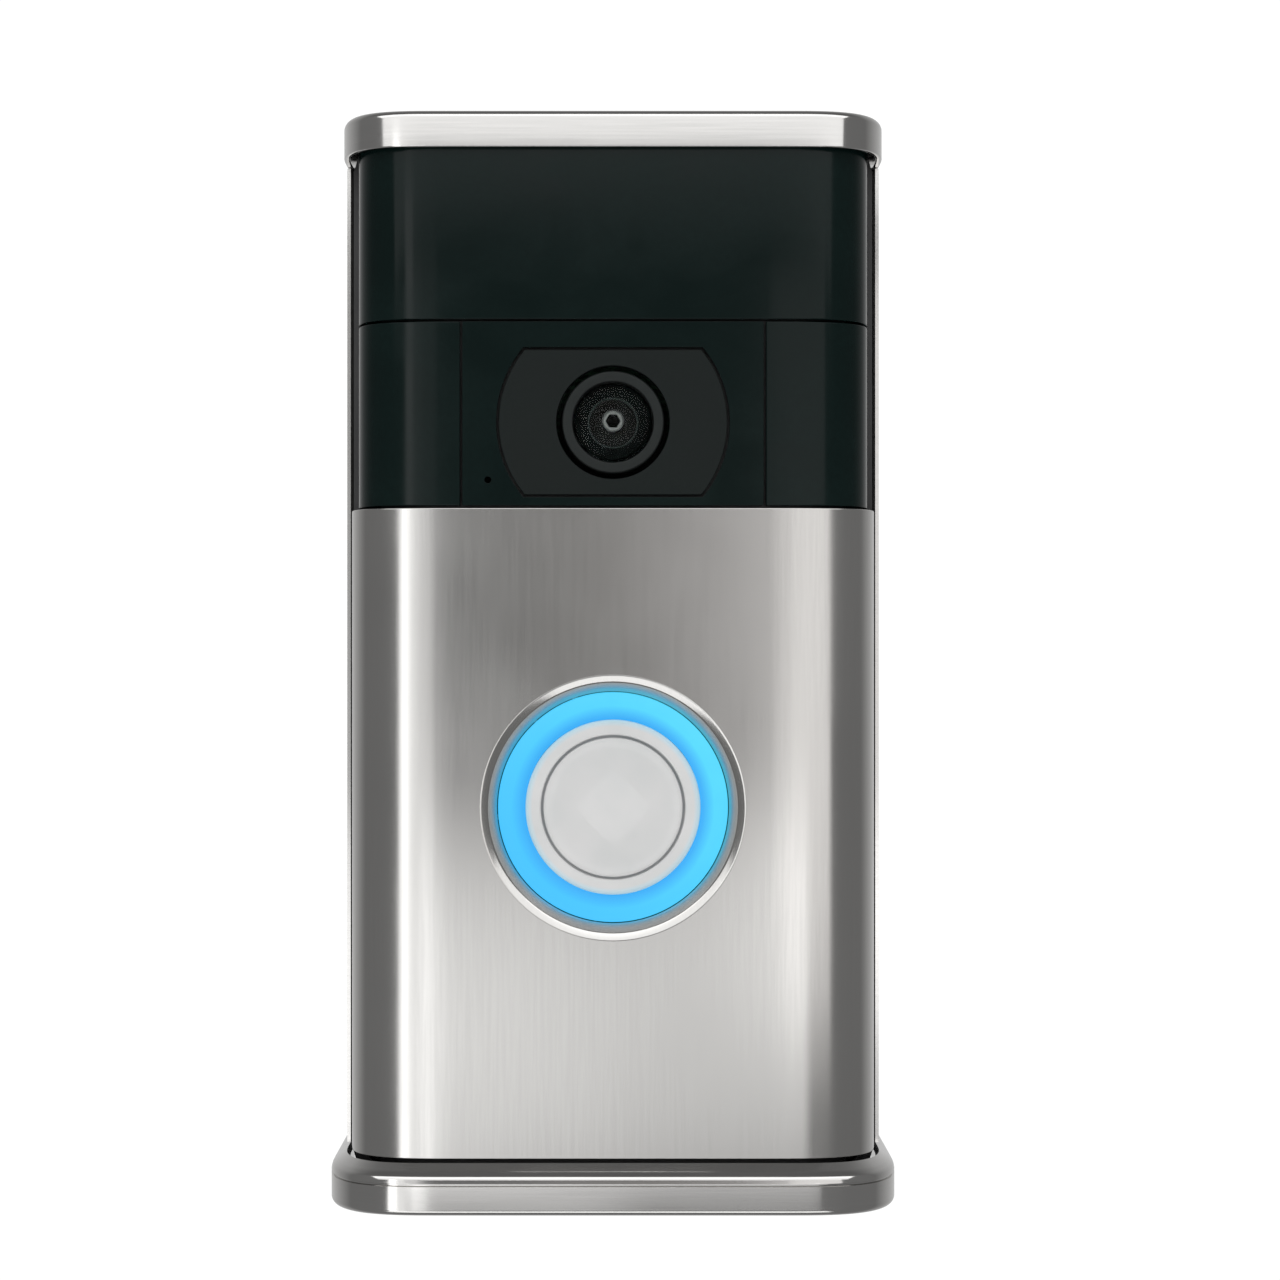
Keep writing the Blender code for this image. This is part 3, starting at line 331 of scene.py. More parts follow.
def lathe(profile, centre, closed=False, steps=TURN_STEPS, ripple=None):
    """Turns (radius, Y) pairs about an axis along Y. A ripple scales each radius by its angle."""
    solid = bmesh.new()
    rings = []
    for index, (radius, y) in enumerate(profile):
        if radius < 1e-6:
            rings.append([solid.verts.new((centre.x * MM, y * MM, centre.z * MM))])
            continue
        ring = []
        for step in range(steps):
            angle = 2 * math.pi * step / steps
            reach = radius * (ripple(index, angle) if ripple else 1)
            x = centre.x + reach * math.cos(angle)
            z = centre.z + reach * math.sin(angle)
            ring.append(solid.verts.new((x * MM, y * MM, z * MM)))
        rings.append(ring)
    pairs = list(zip(rings, rings[1:]))
    if closed:
        pairs.append((rings[-1], rings[0]))
    for first, second in pairs:
        join_rings(solid, first, second)
    bmesh.ops.recalc_face_normals(solid, faces=solid.faces)
    mesh = bpy.data.meshes.new("turned")
    solid.to_mesh(mesh)
    solid.free()
    return mesh


def join_rings(solid, first, second):
    """Faces between two rings of points, either of which may be a single point."""
    count = max(len(first), len(second))
    for step in range(count):
        after = (step + 1) % count
        corners = [first[step % len(first)], first[after % len(first)]]
        corners += [second[after % len(second)], second[step % len(second)]]
        unique = list(dict.fromkeys(corners))
        if len(unique) > 2:
            solid.faces.new(unique)


def cap_mesh(half, front, back, corner, rows):
    """An open sheet of (inset, height) rows round the plan chain, closed at the last row."""
    solid = bmesh.new()
    rings = []
    for inset, height in rows:
        chain = plan_chain(half - inset, front + inset, back, corner - inset)
        rings.append([solid.verts.new((x * MM, y * MM, height * MM)) for x, y in chain])
    for upper, lower in zip(rings, rings[1:]):
        for index in range(len(upper) - 1):
            solid.faces.new((upper[index], lower[index], lower[index + 1], upper[index + 1]))
    closing = solid.faces.new(rings[-1])
    bmesh.ops.recalc_face_normals(solid, faces=solid.faces)
    outward = rows[-1][1] - rows[0][1]
    if closing.normal.z * outward < 0:
        bmesh.ops.reverse_faces(solid, faces=solid.faces)
    mesh = bpy.data.meshes.new("cap")
    solid.to_mesh(mesh)
    solid.free()
    return mesh


def sheeted(piece):
    """Gives an open sheet its thickness, inwards, and soft edges."""
    thickness = piece.modifiers.new("sheet", "SOLIDIFY")
    thickness.thickness = SHEET * MM
    thickness.offset = -1
    thickness.use_even_offset = True
    return bevelled(piece, SHEET_EDGE, 2, 60.0)


def cut(piece, mesh):
    """Cuts the mesh out of the piece, and keeps the result as the piece's own mesh."""
    cutter = bpy.data.objects.new("cutter", mesh)
    bpy.context.scene.collection.objects.link(cutter)
    modifier = piece.modifiers.new("cut", "BOOLEAN")
    modifier.operation = "DIFFERENCE"
    modifier.object = cutter
    bpy.context.view_layer.update()
    graph = bpy.context.evaluated_depsgraph_get()
    result = bpy.data.meshes.new_from_object(piece.evaluated_get(graph))
    piece.modifiers.clear()
    piece.data = result
    bpy.data.objects.remove(cutter)
    result.shade_smooth()
    result.set_sharp_from_angle(angle=math.radians(SHARP_ANGLE))
    return piece


# ---------------------------------------------------------------- finishes


def add(tree, kind, inputs=None, output=0, **settings):
    """Adds a shader node, sets or links its inputs, and returns one of its outputs."""
    node = tree.nodes.new(kind)
    for key, value in settings.items():
        setattr(node, key, value)
    for key, value in (inputs or {}).items():
        if isinstance(value, bpy.types.NodeSocket):
            tree.links.new(value, node.inputs[key])
        else:
            node.inputs[key].default_value = value
    return node.outputs[output]


def coordinates(tree, scale, offset=(0, 0, 0)):
    """The object's own coordinates, in metres, moved and then scaled."""
    place = add(tree, "ShaderNodeTexCoord", output="Object")
    moved = add(tree, "ShaderNodeVectorMath", {0: place, 1: offset}, operation="SUBTRACT")
    return add(tree, "ShaderNodeVectorMath", {0: moved, 1: scale}, operation="MULTIPLY")


def noise(tree, scale, detail=3.0, distortion=0.0):
    vector = coordinates(tree, scale)
    inputs = {"Vector": vector, "Scale": 1.0, "Detail": detail, "Distortion": distortion}
    return add(tree, "ShaderNodeTexNoise", inputs)


def spread(tree, value, low, high, start=0.35, end=0.65):
    """Maps a value that runs from start to end onto low to high."""
    inputs = {"Value": value, "From Min": start, "From Max": end, "To Min": low, "To Max": high}
    return add(tree, "ShaderNodeMapRange", inputs)


def blend(tree, factor, first, second):
    """Mixes two colours; each is a socket or an (r, g, b) colour."""
    pair = []
    for colour in (first, second):
        pair.append(colour if isinstance(colour, bpy.types.NodeSocket) else (*colour, 1.0))
    inputs = {0: factor, 6: pair[0], 7: pair[1]}
    return add(tree, "ShaderNodeMix", inputs, output=2, data_type="RGBA")


def scaled(colour, share):
    return tuple(channel * share for channel in colour)


def varied(tree, factor, colour, variation):
    """The colour, from a little darker to a little lighter as the factor goes from low to high."""
    share = spread(tree, factor, 0, 1)
    return blend(tree, share, scaled(colour, 1 - variation), scaled(colour, 1 + variation))


def new_finish(name, **fixed):
    """A material with its Principled shader's fixed values, such as Metallic=1.0."""
    material = bpy.data.materials.new(name)
    material.use_nodes = True
    tree = material.node_tree
    shader = tree.nodes["Principled BSDF"]
    for key, value in fixed.items():
        shader.inputs[key.replace("_", " ")].default_value = value
    return material, tree, shader


def relief(tree, shader, height, strength, depth):
    """Bumps the surface by a height from 0 to 1 that stands for depth in metres."""
    inputs = {"Height": height, "Strength": strength, "Distance": depth}
    tree.links.new(add(tree, "ShaderNodeBump", inputs), shader.inputs["Normal"])


def brushed(name, colour, roughness, lines, variation=0.05, metallic=1.0, strength=0.12):
    """Metal with fine lines; lines gives how fast its pattern changes along X, Y and Z, per metre."""
    material, tree, shader = new_finish(name, Metallic=metallic)
    streaks = noise(tree, lines, 4.0)
    clouds = noise(tree, (45, 45, 45), 2.0)
    tone = varied(tree, clouds, colour, variation)
    fine = blend(tree, spread(tree, streaks, 0, 0.5), tone, scaled(colour, 1 - 2 * variation))
    tree.links.new(fine, shader.inputs["Base Color"])
    base = spread(tree, clouds, roughness[0], roughness[1])
    extra = spread(tree, streaks, 0, (roughness[1] - roughness[0]) * 0.6)
    total = add(tree, "ShaderNodeMath", {0: base, 1: extra}, operation="ADD")
    tree.links.new(total, shader.inputs["Roughness"])
    relief(tree, shader, streaks, strength, 0.00002)
    return material


def moulded(
    name, colour, roughness, grain=2600.0, depth=0.00003, strength=0.25, variation=0.08, **fixed
):
    """Moulded plastic or rubber: a fine grain, with handling marks in its gloss."""
    material, tree, shader = new_finish(name, **fixed)
    pebbles = noise(tree, (grain, grain, grain), 2.0)
    marks = noise(tree, (60, 60, 90), 3.0, 0.6)
    tone = varied(tree, marks, colour, variation)
    speckled = blend(tree, spread(tree, pebbles, 0, 0.35), tone, scaled(colour, 1 - 2 * variation))
    tree.links.new(speckled, shader.inputs["Base Color"])
    tree.links.new(spread(tree, marks, roughness[0], roughness[1]), shader.inputs["Roughness"])
    relief(tree, shader, pebbles, strength, depth)
    return material


def radius_from(tree, centre):
    """Distance in metres from the axis along Y through the centre."""
    vector = coordinates(tree, (1, 0, 1), tuple(centre * MM))
    return add(tree, "ShaderNodeVectorMath", {0: vector}, output="Value", operation="LENGTH")


def light_finish():
    """The lit ring: azure low on the left, cyan high on the right, deeper at its inner edge."""
    material, tree, shader = new_finish(
        "blue_light", Roughness=0.4, Emission_Strength=LIGHT_STRENGTH, Specular_IOR_Level=0.3
    )
    across = coordinates(tree, (1, 0, 1), tuple(BUTTON_CENTRE * MM))
    slant = add(
        tree,
        "ShaderNodeVectorMath",
        {0: across, 1: HUE_DIRECTION},
        output="Value",
        operation="DOT_PRODUCT",
    )
    share = spread(tree, slant, 0, 1, -0.013, 0.013)
    hue = blend(tree, share, AZURE, CYAN)
    radius = radius_from(tree, BUTTON_CENTRE)
    inner = spread(tree, radius, 1, 0, 0.0105, 0.0118)
    deeper = blend(tree, inner, hue, DEEP_BLUE)
    mottle = noise(tree, (400, 400, 400), 2.0)
    lit = blend(tree, spread(tree, mottle, 0, 0.08), deeper, DEEP_BLUE)
    tree.links.new(lit, shader.inputs["Emission Color"])
    body = blend(tree, mottle, RING_BODY, scaled(RING_BODY, 1.4))
    tree.links.new(body, shader.inputs["Base Color"])
    relief(tree, shader, mottle, 0.05, 0.00002)
    return material


def button_finish():
    """White plastic with a faint painted glow, though it is no lamp, and the ring's blue light painted
    into its colour and glow near its edge.
    """
    material, tree, shader = new_finish("button_white", Roughness=0.36, Emission_Strength=PAINTED_BUTTON_GLOW)
    radius = radius_from(tree, BUTTON_CENTRE)
    edge = spread(tree, radius, 0, 1, 0.0094, 0.0105)
    clouds = noise(tree, (120, 120, 120), 3.0)
    white = blend(tree, spread(tree, clouds, 0, 1), (0.55, 0.56, 0.56), (0.6, 0.6, 0.6))
    # Painted light: towards the ring the white is painted blue as the ring's spilled light, and this
    # colour also glows faintly.
    painted_glow_colour = blend(tree, edge, white, (0.34, 0.64, 0.8))
    tree.links.new(painted_glow_colour, shader.inputs["Base Color"])
    tree.links.new(painted_glow_colour, shader.inputs["Emission Color"])
    grain = noise(tree, (3000, 3000, 3000), 2.0)
    relief(tree, shader, grain, 0.1, 0.00002)
    return material


def glass_finish():
    """Coated glass, which reflects little, with faint smears."""
    material, tree, shader = new_finish("lens_glass", IOR=1.14, Transmission_Weight=1.0)
    smears = noise(tree, (500, 500, 900), 3.0, 1.0)
    tree.links.new(spread(tree, smears, 0.0, 0.02), shader.inputs["Roughness"])
    tint = blend(tree, spread(tree, smears, 0, 1), (0.87, 0.89, 0.885), (0.9, 0.92, 0.915))
    tree.links.new(tint, shader.inputs["Base Color"])
    return material


def retainer_finish():
    """Blackened lens retainer with a painted highlight line round its inner edge."""
    material, tree, shader = new_finish("lens_retainer", Roughness=0.7, Specular_IOR_Level=0.05)
    off_line = add(
        tree,
        "ShaderNodeMath",
        {0: radius_from(tree, CAMERA_CENTRE), 1: (RETAINER_INNER + 0.1) * MM},
        operation="SUBTRACT",
    )
    distance = add(tree, "ShaderNodeMath", {0: off_line}, operation="ABSOLUTE")
    # Painted highlight: the colour turns lighter in a thin ring at the inner edge, standing in for the
    # light that the rim catches.
    painted_rim_highlight = spread(tree, distance, 1, 0, 0.00006, 0.00012)
    grain = noise(tree, (3200, 3200, 3200), 2.0)
    black = blend(tree, grain, (0.0015, 0.004, 0.0037), (0.0025, 0.0055, 0.005))
    rim_highlighted = blend(tree, painted_rim_highlight, black, (0.034, 0.046, 0.044))
    tree.links.new(rim_highlighted, shader.inputs["Base Color"])
    relief(tree, shader, grain, 0.04, 0.00001)
    return material


def aperture_finish():
    """Iris blades in grey metal, with a painted highlight that makes them brighter round the opening.
    """
    material, tree, shader = new_finish("aperture_blades", Metallic=1.0)
    grain = noise(tree, (2600, 2600, 2600), 3.0)
    # Painted highlight: the blades' colour is lighter near the opening, standing in for the light that
    # catches them there.
    ring = spread(tree, radius_from(tree, APERTURE_CENTRE), 1, 0, 0.00095, 0.0011)
    tone = blend(tree, ring, (0.13, 0.135, 0.135), (0.42, 0.42, 0.41))
    worn = blend(tree, spread(tree, grain, 0, 0.3), tone, (0.08, 0.08, 0.08))
    tree.links.new(worn, shader.inputs["Base Color"])
    tree.links.new(spread(tree, grain, 0.3, 0.42), shader.inputs["Roughness"])
    relief(tree, shader, grain, 0.1, 0.00002)
    return material


def board_finish():
    """Green solder mask over fine copper lines, with tinned pads."""
    material, tree, shader = new_finish("circuit_board")
    bricks = tree.nodes.new("ShaderNodeTexBrick")
    place = coordinates(tree, (1, 1, 1))
    turned = add(tree, "ShaderNodeMapping", {"Vector": place, "Rotation": (math.pi / 2, 0, 0)})
    tree.links.new(turned, bricks.inputs["Vector"])
    pattern = {"Scale": 160.0, "Mortar Size": 0.035, "Brick Width": 0.9, "Row Height": 0.14}
    for key, value in pattern.items():
        bricks.inputs[key].default_value = value
    traces = bricks.outputs["Fac"]
    grid = coordinates(tree, (420, 1, 420))
    cells = add(tree, "ShaderNodeTexVoronoi", {"Vector": grid, "Scale": 1.0, "Randomness": 0.35})
    pads = spread(tree, cells, 1, 0, 0.16, 0.2)
    mask = blend(tree, traces, (0.012, 0.085, 0.04), (0.03, 0.16, 0.07))
    clouds = noise(tree, (300, 300, 300))
    worn = blend(tree, spread(tree, clouds, 0, 0.3), mask, (0.008, 0.06, 0.03))
    tree.links.new(blend(tree, pads, worn, (0.62, 0.6, 0.52)), shader.inputs["Base Color"])
    tree.links.new(pads, shader.inputs["Metallic"])
    tree.links.new(spread(tree, clouds, 0.28, 0.42), shader.inputs["Roughness"])
    relief(tree, shader, traces, 0.3, 0.00004)
    return material


def wrap_finish():
    """Shrink wrap round the battery: a dark blue film with creases and a paler band."""
    material, tree, shader = new_finish("battery_wrap", Coat_Weight=0.3, Coat_Roughness=0.2)
    creases = noise(tree, (220, 220, 60), 4.0, 1.2)
    height = add(tree, "ShaderNodeSeparateXYZ", {0: coordinates(tree, (1, 1, 1))}, output="Z")
    inputs = {0: height, 1: WRAP_BAND_LOW * MM}
    band = add(tree, "ShaderNodeMath", inputs, operation="GREATER_THAN")
    film = blend(tree, band, (0.16, 0.2, 0.28), (0.03, 0.06, 0.16))
    creased = blend(tree, spread(tree, creases, 0, 0.4), film, (0.02, 0.04, 0.11))
    tree.links.new(creased, shader.inputs["Base Color"])
    tree.links.new(spread(tree, creases, 0.3, 0.5), shader.inputs["Roughness"])
    relief(tree, shader, creases, 0.5, 0.0001)
    return material


def film_finish():
    """Amber film with copper tracks that run down it."""
    material, tree, shader = new_finish("flex_film", Metallic=0.2)
    across = add(tree, "ShaderNodeSeparateXYZ", {0: coordinates(tree, (1, 1, 1))}, output="X")
    wave = add(tree, "ShaderNodeMath", {0: across, 1: 0.0008}, operation="PINGPONG")
    tracks = spread(tree, wave, 0, 1, 0.00035, 0.00045)
    clouds = noise(tree, (300, 300, 300))
    film = blend(tree, tracks, (0.34, 0.14, 0.02), (0.62, 0.3, 0.1))
    tree.links.new(film, shader.inputs["Base Color"])
    tree.links.new(spread(tree, clouds, 0.25, 0.42), shader.inputs["Roughness"])
    relief(tree, shader, tracks, 0.4, 0.00003)
    return material


FINISHES = {
    "polished_steel": brushed(
        "polished_steel", (0.62, 0.612, 0.6), (0.09, 0.13), (90, 90, 5200), 0.03, strength=0.02
    ),
    "screw_steel": brushed("screw_steel", (0.5, 0.5, 0.49), (0.25, 0.4), (900, 900, 900), 0.1),
    "satin_nickel": brushed(
        "satin_nickel", (0.60, 0.592, 0.578), (0.15, 0.18), (3600, 3600, 110), 0.02, strength=0.02
    ),
    "gloss_black": moulded(
        "gloss_black",
        (0.0033, 0.0088, 0.0082),
        (0.1, 0.16),
        grain=1500,
        strength=0.03,
        variation=0.12,
        Specular_IOR_Level=0.16,
    ),
    "matte_grey": moulded(
        "matte_grey", (0.009, 0.0125, 0.012), (0.5, 0.62), grain=3400, Specular_IOR_Level=0.12
    ),
    "housing_plastic": moulded("housing_plastic", (0.028, 0.028, 0.029), (0.45, 0.6)),
    "lens_metal": brushed(
        "lens_metal", (0.014, 0.0175, 0.017), (0.4, 0.5), (900, 900, 900), metallic=0.6
    ),
    "lens_glass": glass_finish(),
    "bright_metal": brushed("bright_metal", (0.66, 0.65, 0.63), (0.26, 0.36), (2200, 2200, 300)),
    "blue_light": light_finish(),
    "white_plastic": moulded("white_plastic", (0.76, 0.76, 0.75), (0.3, 0.42), variation=0.03),
    "rubber": moulded(
        "rubber", (0.02, 0.02, 0.02), (0.7, 0.85), grain=1700, strength=0.4, variation=0.15
    ),
    "circuit_board": board_finish(),
    "battery_wrap": wrap_finish(),
    "orange_plastic": moulded("orange_plastic", (0.75, 0.19, 0.025), (0.35, 0.48)),
    "brass": brushed("brass", (0.78, 0.56, 0.26), (0.24, 0.38), (900, 900, 900), 0.12),
    "flex_film": film_finish(),
}
BUTTON_WHITE = button_finish()


def finish_cad_nodes():
    """Gives every carried-over CAD node its slot's finish, or a finish of its own."""
    grain = (2400, 2400, 2400)
    own = {
        "microphone": FINISHES["matte_grey"],
        "image_sensor": brushed("sensor_face", (0.2, 0.2, 0.2), (0.2, 0.3), grain, 0.1, 0.3),
    }
    for name, node in frame["nodes"].items():
        node.data.materials.clear()
        node.data.materials.append(own.get(name, FINISHES[SLOT_OF[name]]))


# ---------------------------------------------------------------- bracket


def make_top_band():
    low, high = box_mm("top_band")
    fillet_centre = (TOP_BAND_FILLET, high.z - TOP_BAND_FILLET)
    rows = [(0, low.z)] + arc(fillet_centre, TOP_BAND_FILLET, 180, 90, 10)
    mesh = cap_mesh(high.x, low.y, high.y, TOP_BAND_CORNER, rows)
    sheeted(stand_in("top_band", mesh))


def make_bottom_band():
    """The tray: a sloped rim over a rolled shoulder, a fine crease, the face and the floor."""
    low, high = box_mm("bottom_band")
    face_top = high.z - FACE_TOP_DROP
    slope = [(RIM_INSET, high.z), (0.62, face_top + 0.95), (0.1, face_top + 0.42)]
    shoulder = rounded(slope + [(0.0, face_top - 0.2)], SHOULDER_ROUND)
    crease = [(0.0, face_top - 0.22), (CREASE_DEPTH, face_top - 0.32)]
    crease += [(CREASE_DEPTH, face_top - 0.46), (0.0, face_top - 0.56)]
    fillet_centre = (BOTTOM_BAND_FILLET, low.z + BOTTOM_BAND_FILLET)
    rows = shoulder + crease + arc(fillet_centre, BOTTOM_BAND_FILLET, 180, 270, 10)
    tray = stand_in("bottom_band", cap_mesh(high.x, low.y, high.y, BOTTOM_BAND_CORNER, rows))
    thickness = tray.modifiers.new("sheet", "SOLIDIFY")
    thickness.thickness = SHEET * MM
    thickness.offset = -1
    for side in ("left", "right"):
        screw = middle_mm("security_screw_" + side)
        hole = column([circle(screw.x, screw.y, SCREW_HOLE)], low.z - 1, low.z + 2)
        cut(tray, hole)
    bevelled(tray, SHEET_EDGE, 2, 60.0)


def make_back_plate():
    """Back plate and flanges, bent from one sheet, with the wiring window and the screw holes."""
    low, high = box_mm("bracket_back_plate")
    half = high.x
    inner = half - SHEET
    outline = [(-half, low.y)] + arc((-half + BEND, -BEND), BEND, 180, 90, 8)
    outline += arc((half - BEND, -BEND), BEND, 90, 0, 8) + [(half, low.y)]
    bend = BEND - SHEET
    land = half - EDGE_LAND
    slope_end = low.y + EDGE_SLOPE
    outline += [(land, low.y), (inner, slope_end)]
    outline += arc((inner - bend, -BEND), bend, 0, 90, 8)
    outline += arc((-inner + bend, -BEND), bend, 90, 180, 8)
    outline += [(-inner, slope_end), (-land, low.y)]
    back = stand_in("bracket_back_plate", column([outline], low.z, high.z))
    loops = [rectangle(-WINDOW_HALF, WINDOW_HALF, WINDOW_LOW, WINDOW_HIGH, WINDOW_CORNER)]
    for number in range(1, 5):
        screw = middle_mm(f"mounting_screw_{number}")
        loops.append(circle(screw.x, screw.z, SCREW_HOLE, 24))
    beyond = high.z + 1
    for side in (-1, 1):
        near, far = sorted((side * FLAT_HALF, side * (half + 1)))
        loops.append(rectangle(near, far, -beyond, FLANGE_LOW, FLANGE_CORNER))
        loops.append(rectangle(near, far, FLANGE_HIGH, beyond, FLANGE_CORNER))
    bevelled(cut(back, plate(loops, low.y - 1, 1)), 0.06, 2, 60.0)


def torx(index, angle, first, last):
    """Six lobes for the rings of a drive socket, from ring first to ring last."""
    return 1 + 0.13 * math.cos(6 * angle) if first <= index <= last else 1


def make_screw(node, head_height, shank, matrix):
    """A pan head with a six-lobed socket over a threaded shank, made upright and then turned."""
    low, high = box_mm(node)
    sizes = high - low
    head = sizes.x / 2
    length = max(sizes)
    socket = head * 0.45
    socket_floor = -head_height * 0.4
    profile = [(0, socket_floor), (socket * 0.94, socket_floor), (socket, 0), (socket * 1.12, 0.02)]
    profile += rounded([(socket * 1.3, 0.02), (head * 0.86, 0.02), (head, -head_height * 0.5)], 0.4)
    profile += rounded([(head, -head_height * 0.6), (head, -head_height), (shank, -head_height)], 0.15)
    start = -head_height - 0.3
    turns = int((length + start - 0.8) / THREAD_PITCH)
    for turn in range(turns):
        top = start - turn * THREAD_PITCH
        profile += [(shank, top), (shank - THREAD_DEPTH, top - THREAD_PITCH / 2)]
    profile.append((shank, start - turns * THREAD_PITCH))
    profile += [(shank * 0.5, -length + 0.15), (0, -length + 0.02)]
    mesh = lathe(
        [(radius, -height) for radius, height in profile],
        Vector((0, 0, 0)),
        steps=48,
        ripple=lambda index, angle: torx(index, angle, 1, 3),
    )
    mesh.transform(matrix)
    weighted(stand_in(node, mesh))


def make_screws():
    """The security screws point up from the tray, and the terminal screws point forward."""
    for side in ("left", "right"):
        node = "security_screw_" + side
        middle = middle_mm(node)
        foot = Vector((middle.x, middle.y, box_mm(node)[0].z + HEAD_INSET))
        place = Matrix.Translation(foot * MM)
        make_screw(node, 1.3, 1.4, place @ Matrix.Rotation(math.radians(90), 4, "X"))
        node = "terminal_screw_" + side
        middle = middle_mm(node)
        back = Vector((middle.x, box_mm(node)[1].y - HEAD_INSET, middle.z))
        place = Matrix.Translation(back * MM)
        make_screw(node, 1.1, 1.2, place @ Matrix.Rotation(math.radians(180), 4, "Z"))


# ---------------------------------------------------------------- camera head


def make_head():
    low, high = box_mm("head_cover_upper")
    chain = plan_chain(high.x, low.y, high.y, HEAD_CORNER)
    inside = plan_chain(high.x - HEAD_WALL, low.y + HEAD_WALL, high.y, HEAD_CORNER - HEAD_WALL)
    bevelled(stand_in("head_cover_upper", column([chain + inside[::-1]], low.z, high.z)), 0.2)

    for side, node in ((-1, "head_panel_left"), (1, "head_panel_right")):
        low, high = box_mm(node)
        seam, half = sorted((abs(low.x), abs(high.x)))
        outline = [(half, high.y)] + eased_corner(half, low.y, high.y, HEAD_CORNER)[::-1]
        outline += [(seam, low.y), (seam, low.y + HEAD_WALL)]
        inner_half = half - HEAD_WALL
        outline += eased_corner(inner_half, low.y + HEAD_WALL, high.y, HEAD_CORNER - HEAD_WALL)
        outline.append((inner_half, high.y))
        mirrored = [(side * x, y) for x, y in outline]
        bevelled(stand_in(node, column([mirrored], low.z, high.z)), 0.2)

    low, high = box_mm("head_panel_centre")
    plate_high = box_mm("camera_plate")[1]
    centre = rectangle(low.x, high.x, low.z, high.z, 0.15, 2)
    half_height = plate_high.z - CAMERA_CENTRE.z
    well = clipped_circle(plate_high.x + SEAM_GAP, half_height + SEAM_GAP, CAMERA_CENTRE.z)
    microphone = middle_mm("microphone")
    hole = circle(microphone.x, microphone.z, MIC_HOLE, 24)
    panel = stand_in("head_panel_centre", plate([centre, well, hole], low.y, high.y))
    bevelled(panel, 0.18)


def make_camera():
    """The clipped round plate, the bezel, and the optics behind the front glass."""
    low, high = box_mm("camera_plate")
    face = clipped_circle(high.x, high.z - CAMERA_CENTRE.z, CAMERA_CENTRE.z)
    well = circle(CAMERA_CENTRE.x, CAMERA_CENTRE.z, LENS_WELL, 96)
    bevelled(stand_in("camera_plate", plate([face, well], low.y, high.y)), 0.14)

    low, high = box_mm("lens_bezel")
    outer = BEZEL_RADIUS
    inner = LENS_RADIUS + LENS_GAP
    profile = rounded(
        [
            (inner, low.y + 0.3),
            (inner + 0.12, low.y + 0.02),
            (inner + 0.2, low.y),
            (outer - 0.14, low.y),
            (outer, low.y + 0.16),
            (outer, high.y),
            (inner, high.y),
        ],
        0.07,
        closed=True,
    )
    weighted(stand_in("lens_bezel", lathe(profile, CAMERA_CENTRE, closed=True)))

    low, high = box_mm("front_lens")
    radius = LENS_RADIUS
    dome = high.y - low.y - 0.4
    curve = (radius**2 + dome**2) / (2 * dome)
    profile = []
    for step in range(17):
        reach = (radius - 0.12) * step / 16
        profile.append((reach, low.y + curve - math.sqrt(curve**2 - reach**2)))
    profile += rounded([(radius, low.y + dome + 0.05), (radius, high.y), (0, high.y)], 0.08)
    weighted(stand_in("front_lens", lathe(profile, CAMERA_CENTRE)))

    low, high = box_mm("lens_retainer")
    inner = RETAINER_INNER
    profile = [
        (inner, low.y + 0.5),
        (inner, low.y + 0.08),
        (inner + 0.1, low.y),
        (inner + 0.24, low.y),
        (inner + 0.3, low.y + 0.12),
        (LENS_RADIUS - 0.3, low.y + 0.16),
        (LENS_RADIUS, low.y + 0.3),
        (LENS_RADIUS, high.y),
        (inner, high.y),
    ]
    ring = lathe(profile, CAMERA_CENTRE, closed=True)
    weighted(stand_in("lens_retainer", ring, retainer_finish()))

    low, high = box_mm("inner_lens")
    radius = high.x
    dome = (high.y - low.y) * 0.5
    curve = (radius**2 + dome**2) / (2 * dome)
    profile = []
    for step in range(13):
        reach = (radius - 0.06) * step / 12
        profile.append((reach, low.y + curve - math.sqrt(curve**2 - reach**2)))
    profile += [(radius, low.y + dome + 0.1), (radius, high.y - 0.05)]
    profile += [(radius - 0.05, high.y), (0, high.y)]
    weighted(stand_in("inner_lens", lathe(profile, CAMERA_CENTRE)))

    low, high = box_mm("aperture_ring")
    inner = APERTURE_INNER
    outer = APERTURE_OUTER
    profile = [
        (inner, low.y + 0.1),
        (inner + 0.06, low.y),
        (outer - 0.06, low.y),
        (outer, low.y + 0.08),
        (outer, high.y),
        (inner, high.y),
    ]
    last = len(profile) - 1
    ring = lathe(
        profile,
        APERTURE_CENTRE,
        closed=True,
        ripple=lambda index, angle: iris(angle) if index in (0, 1, last) else 1,
    )
    weighted(stand_in("aperture_ring", ring, aperture_finish()))


def iris(angle):
    """How far out the six blades' soft hexagon lies at this angle, against a circle."""
    sector = math.pi / 3
    hexagon = math.cos(sector / 2) / math.cos(angle % sector - sector / 2)
    return 0.97 * hexagon + 0.06


# ---------------------------------------------------------------- face cover and bell button


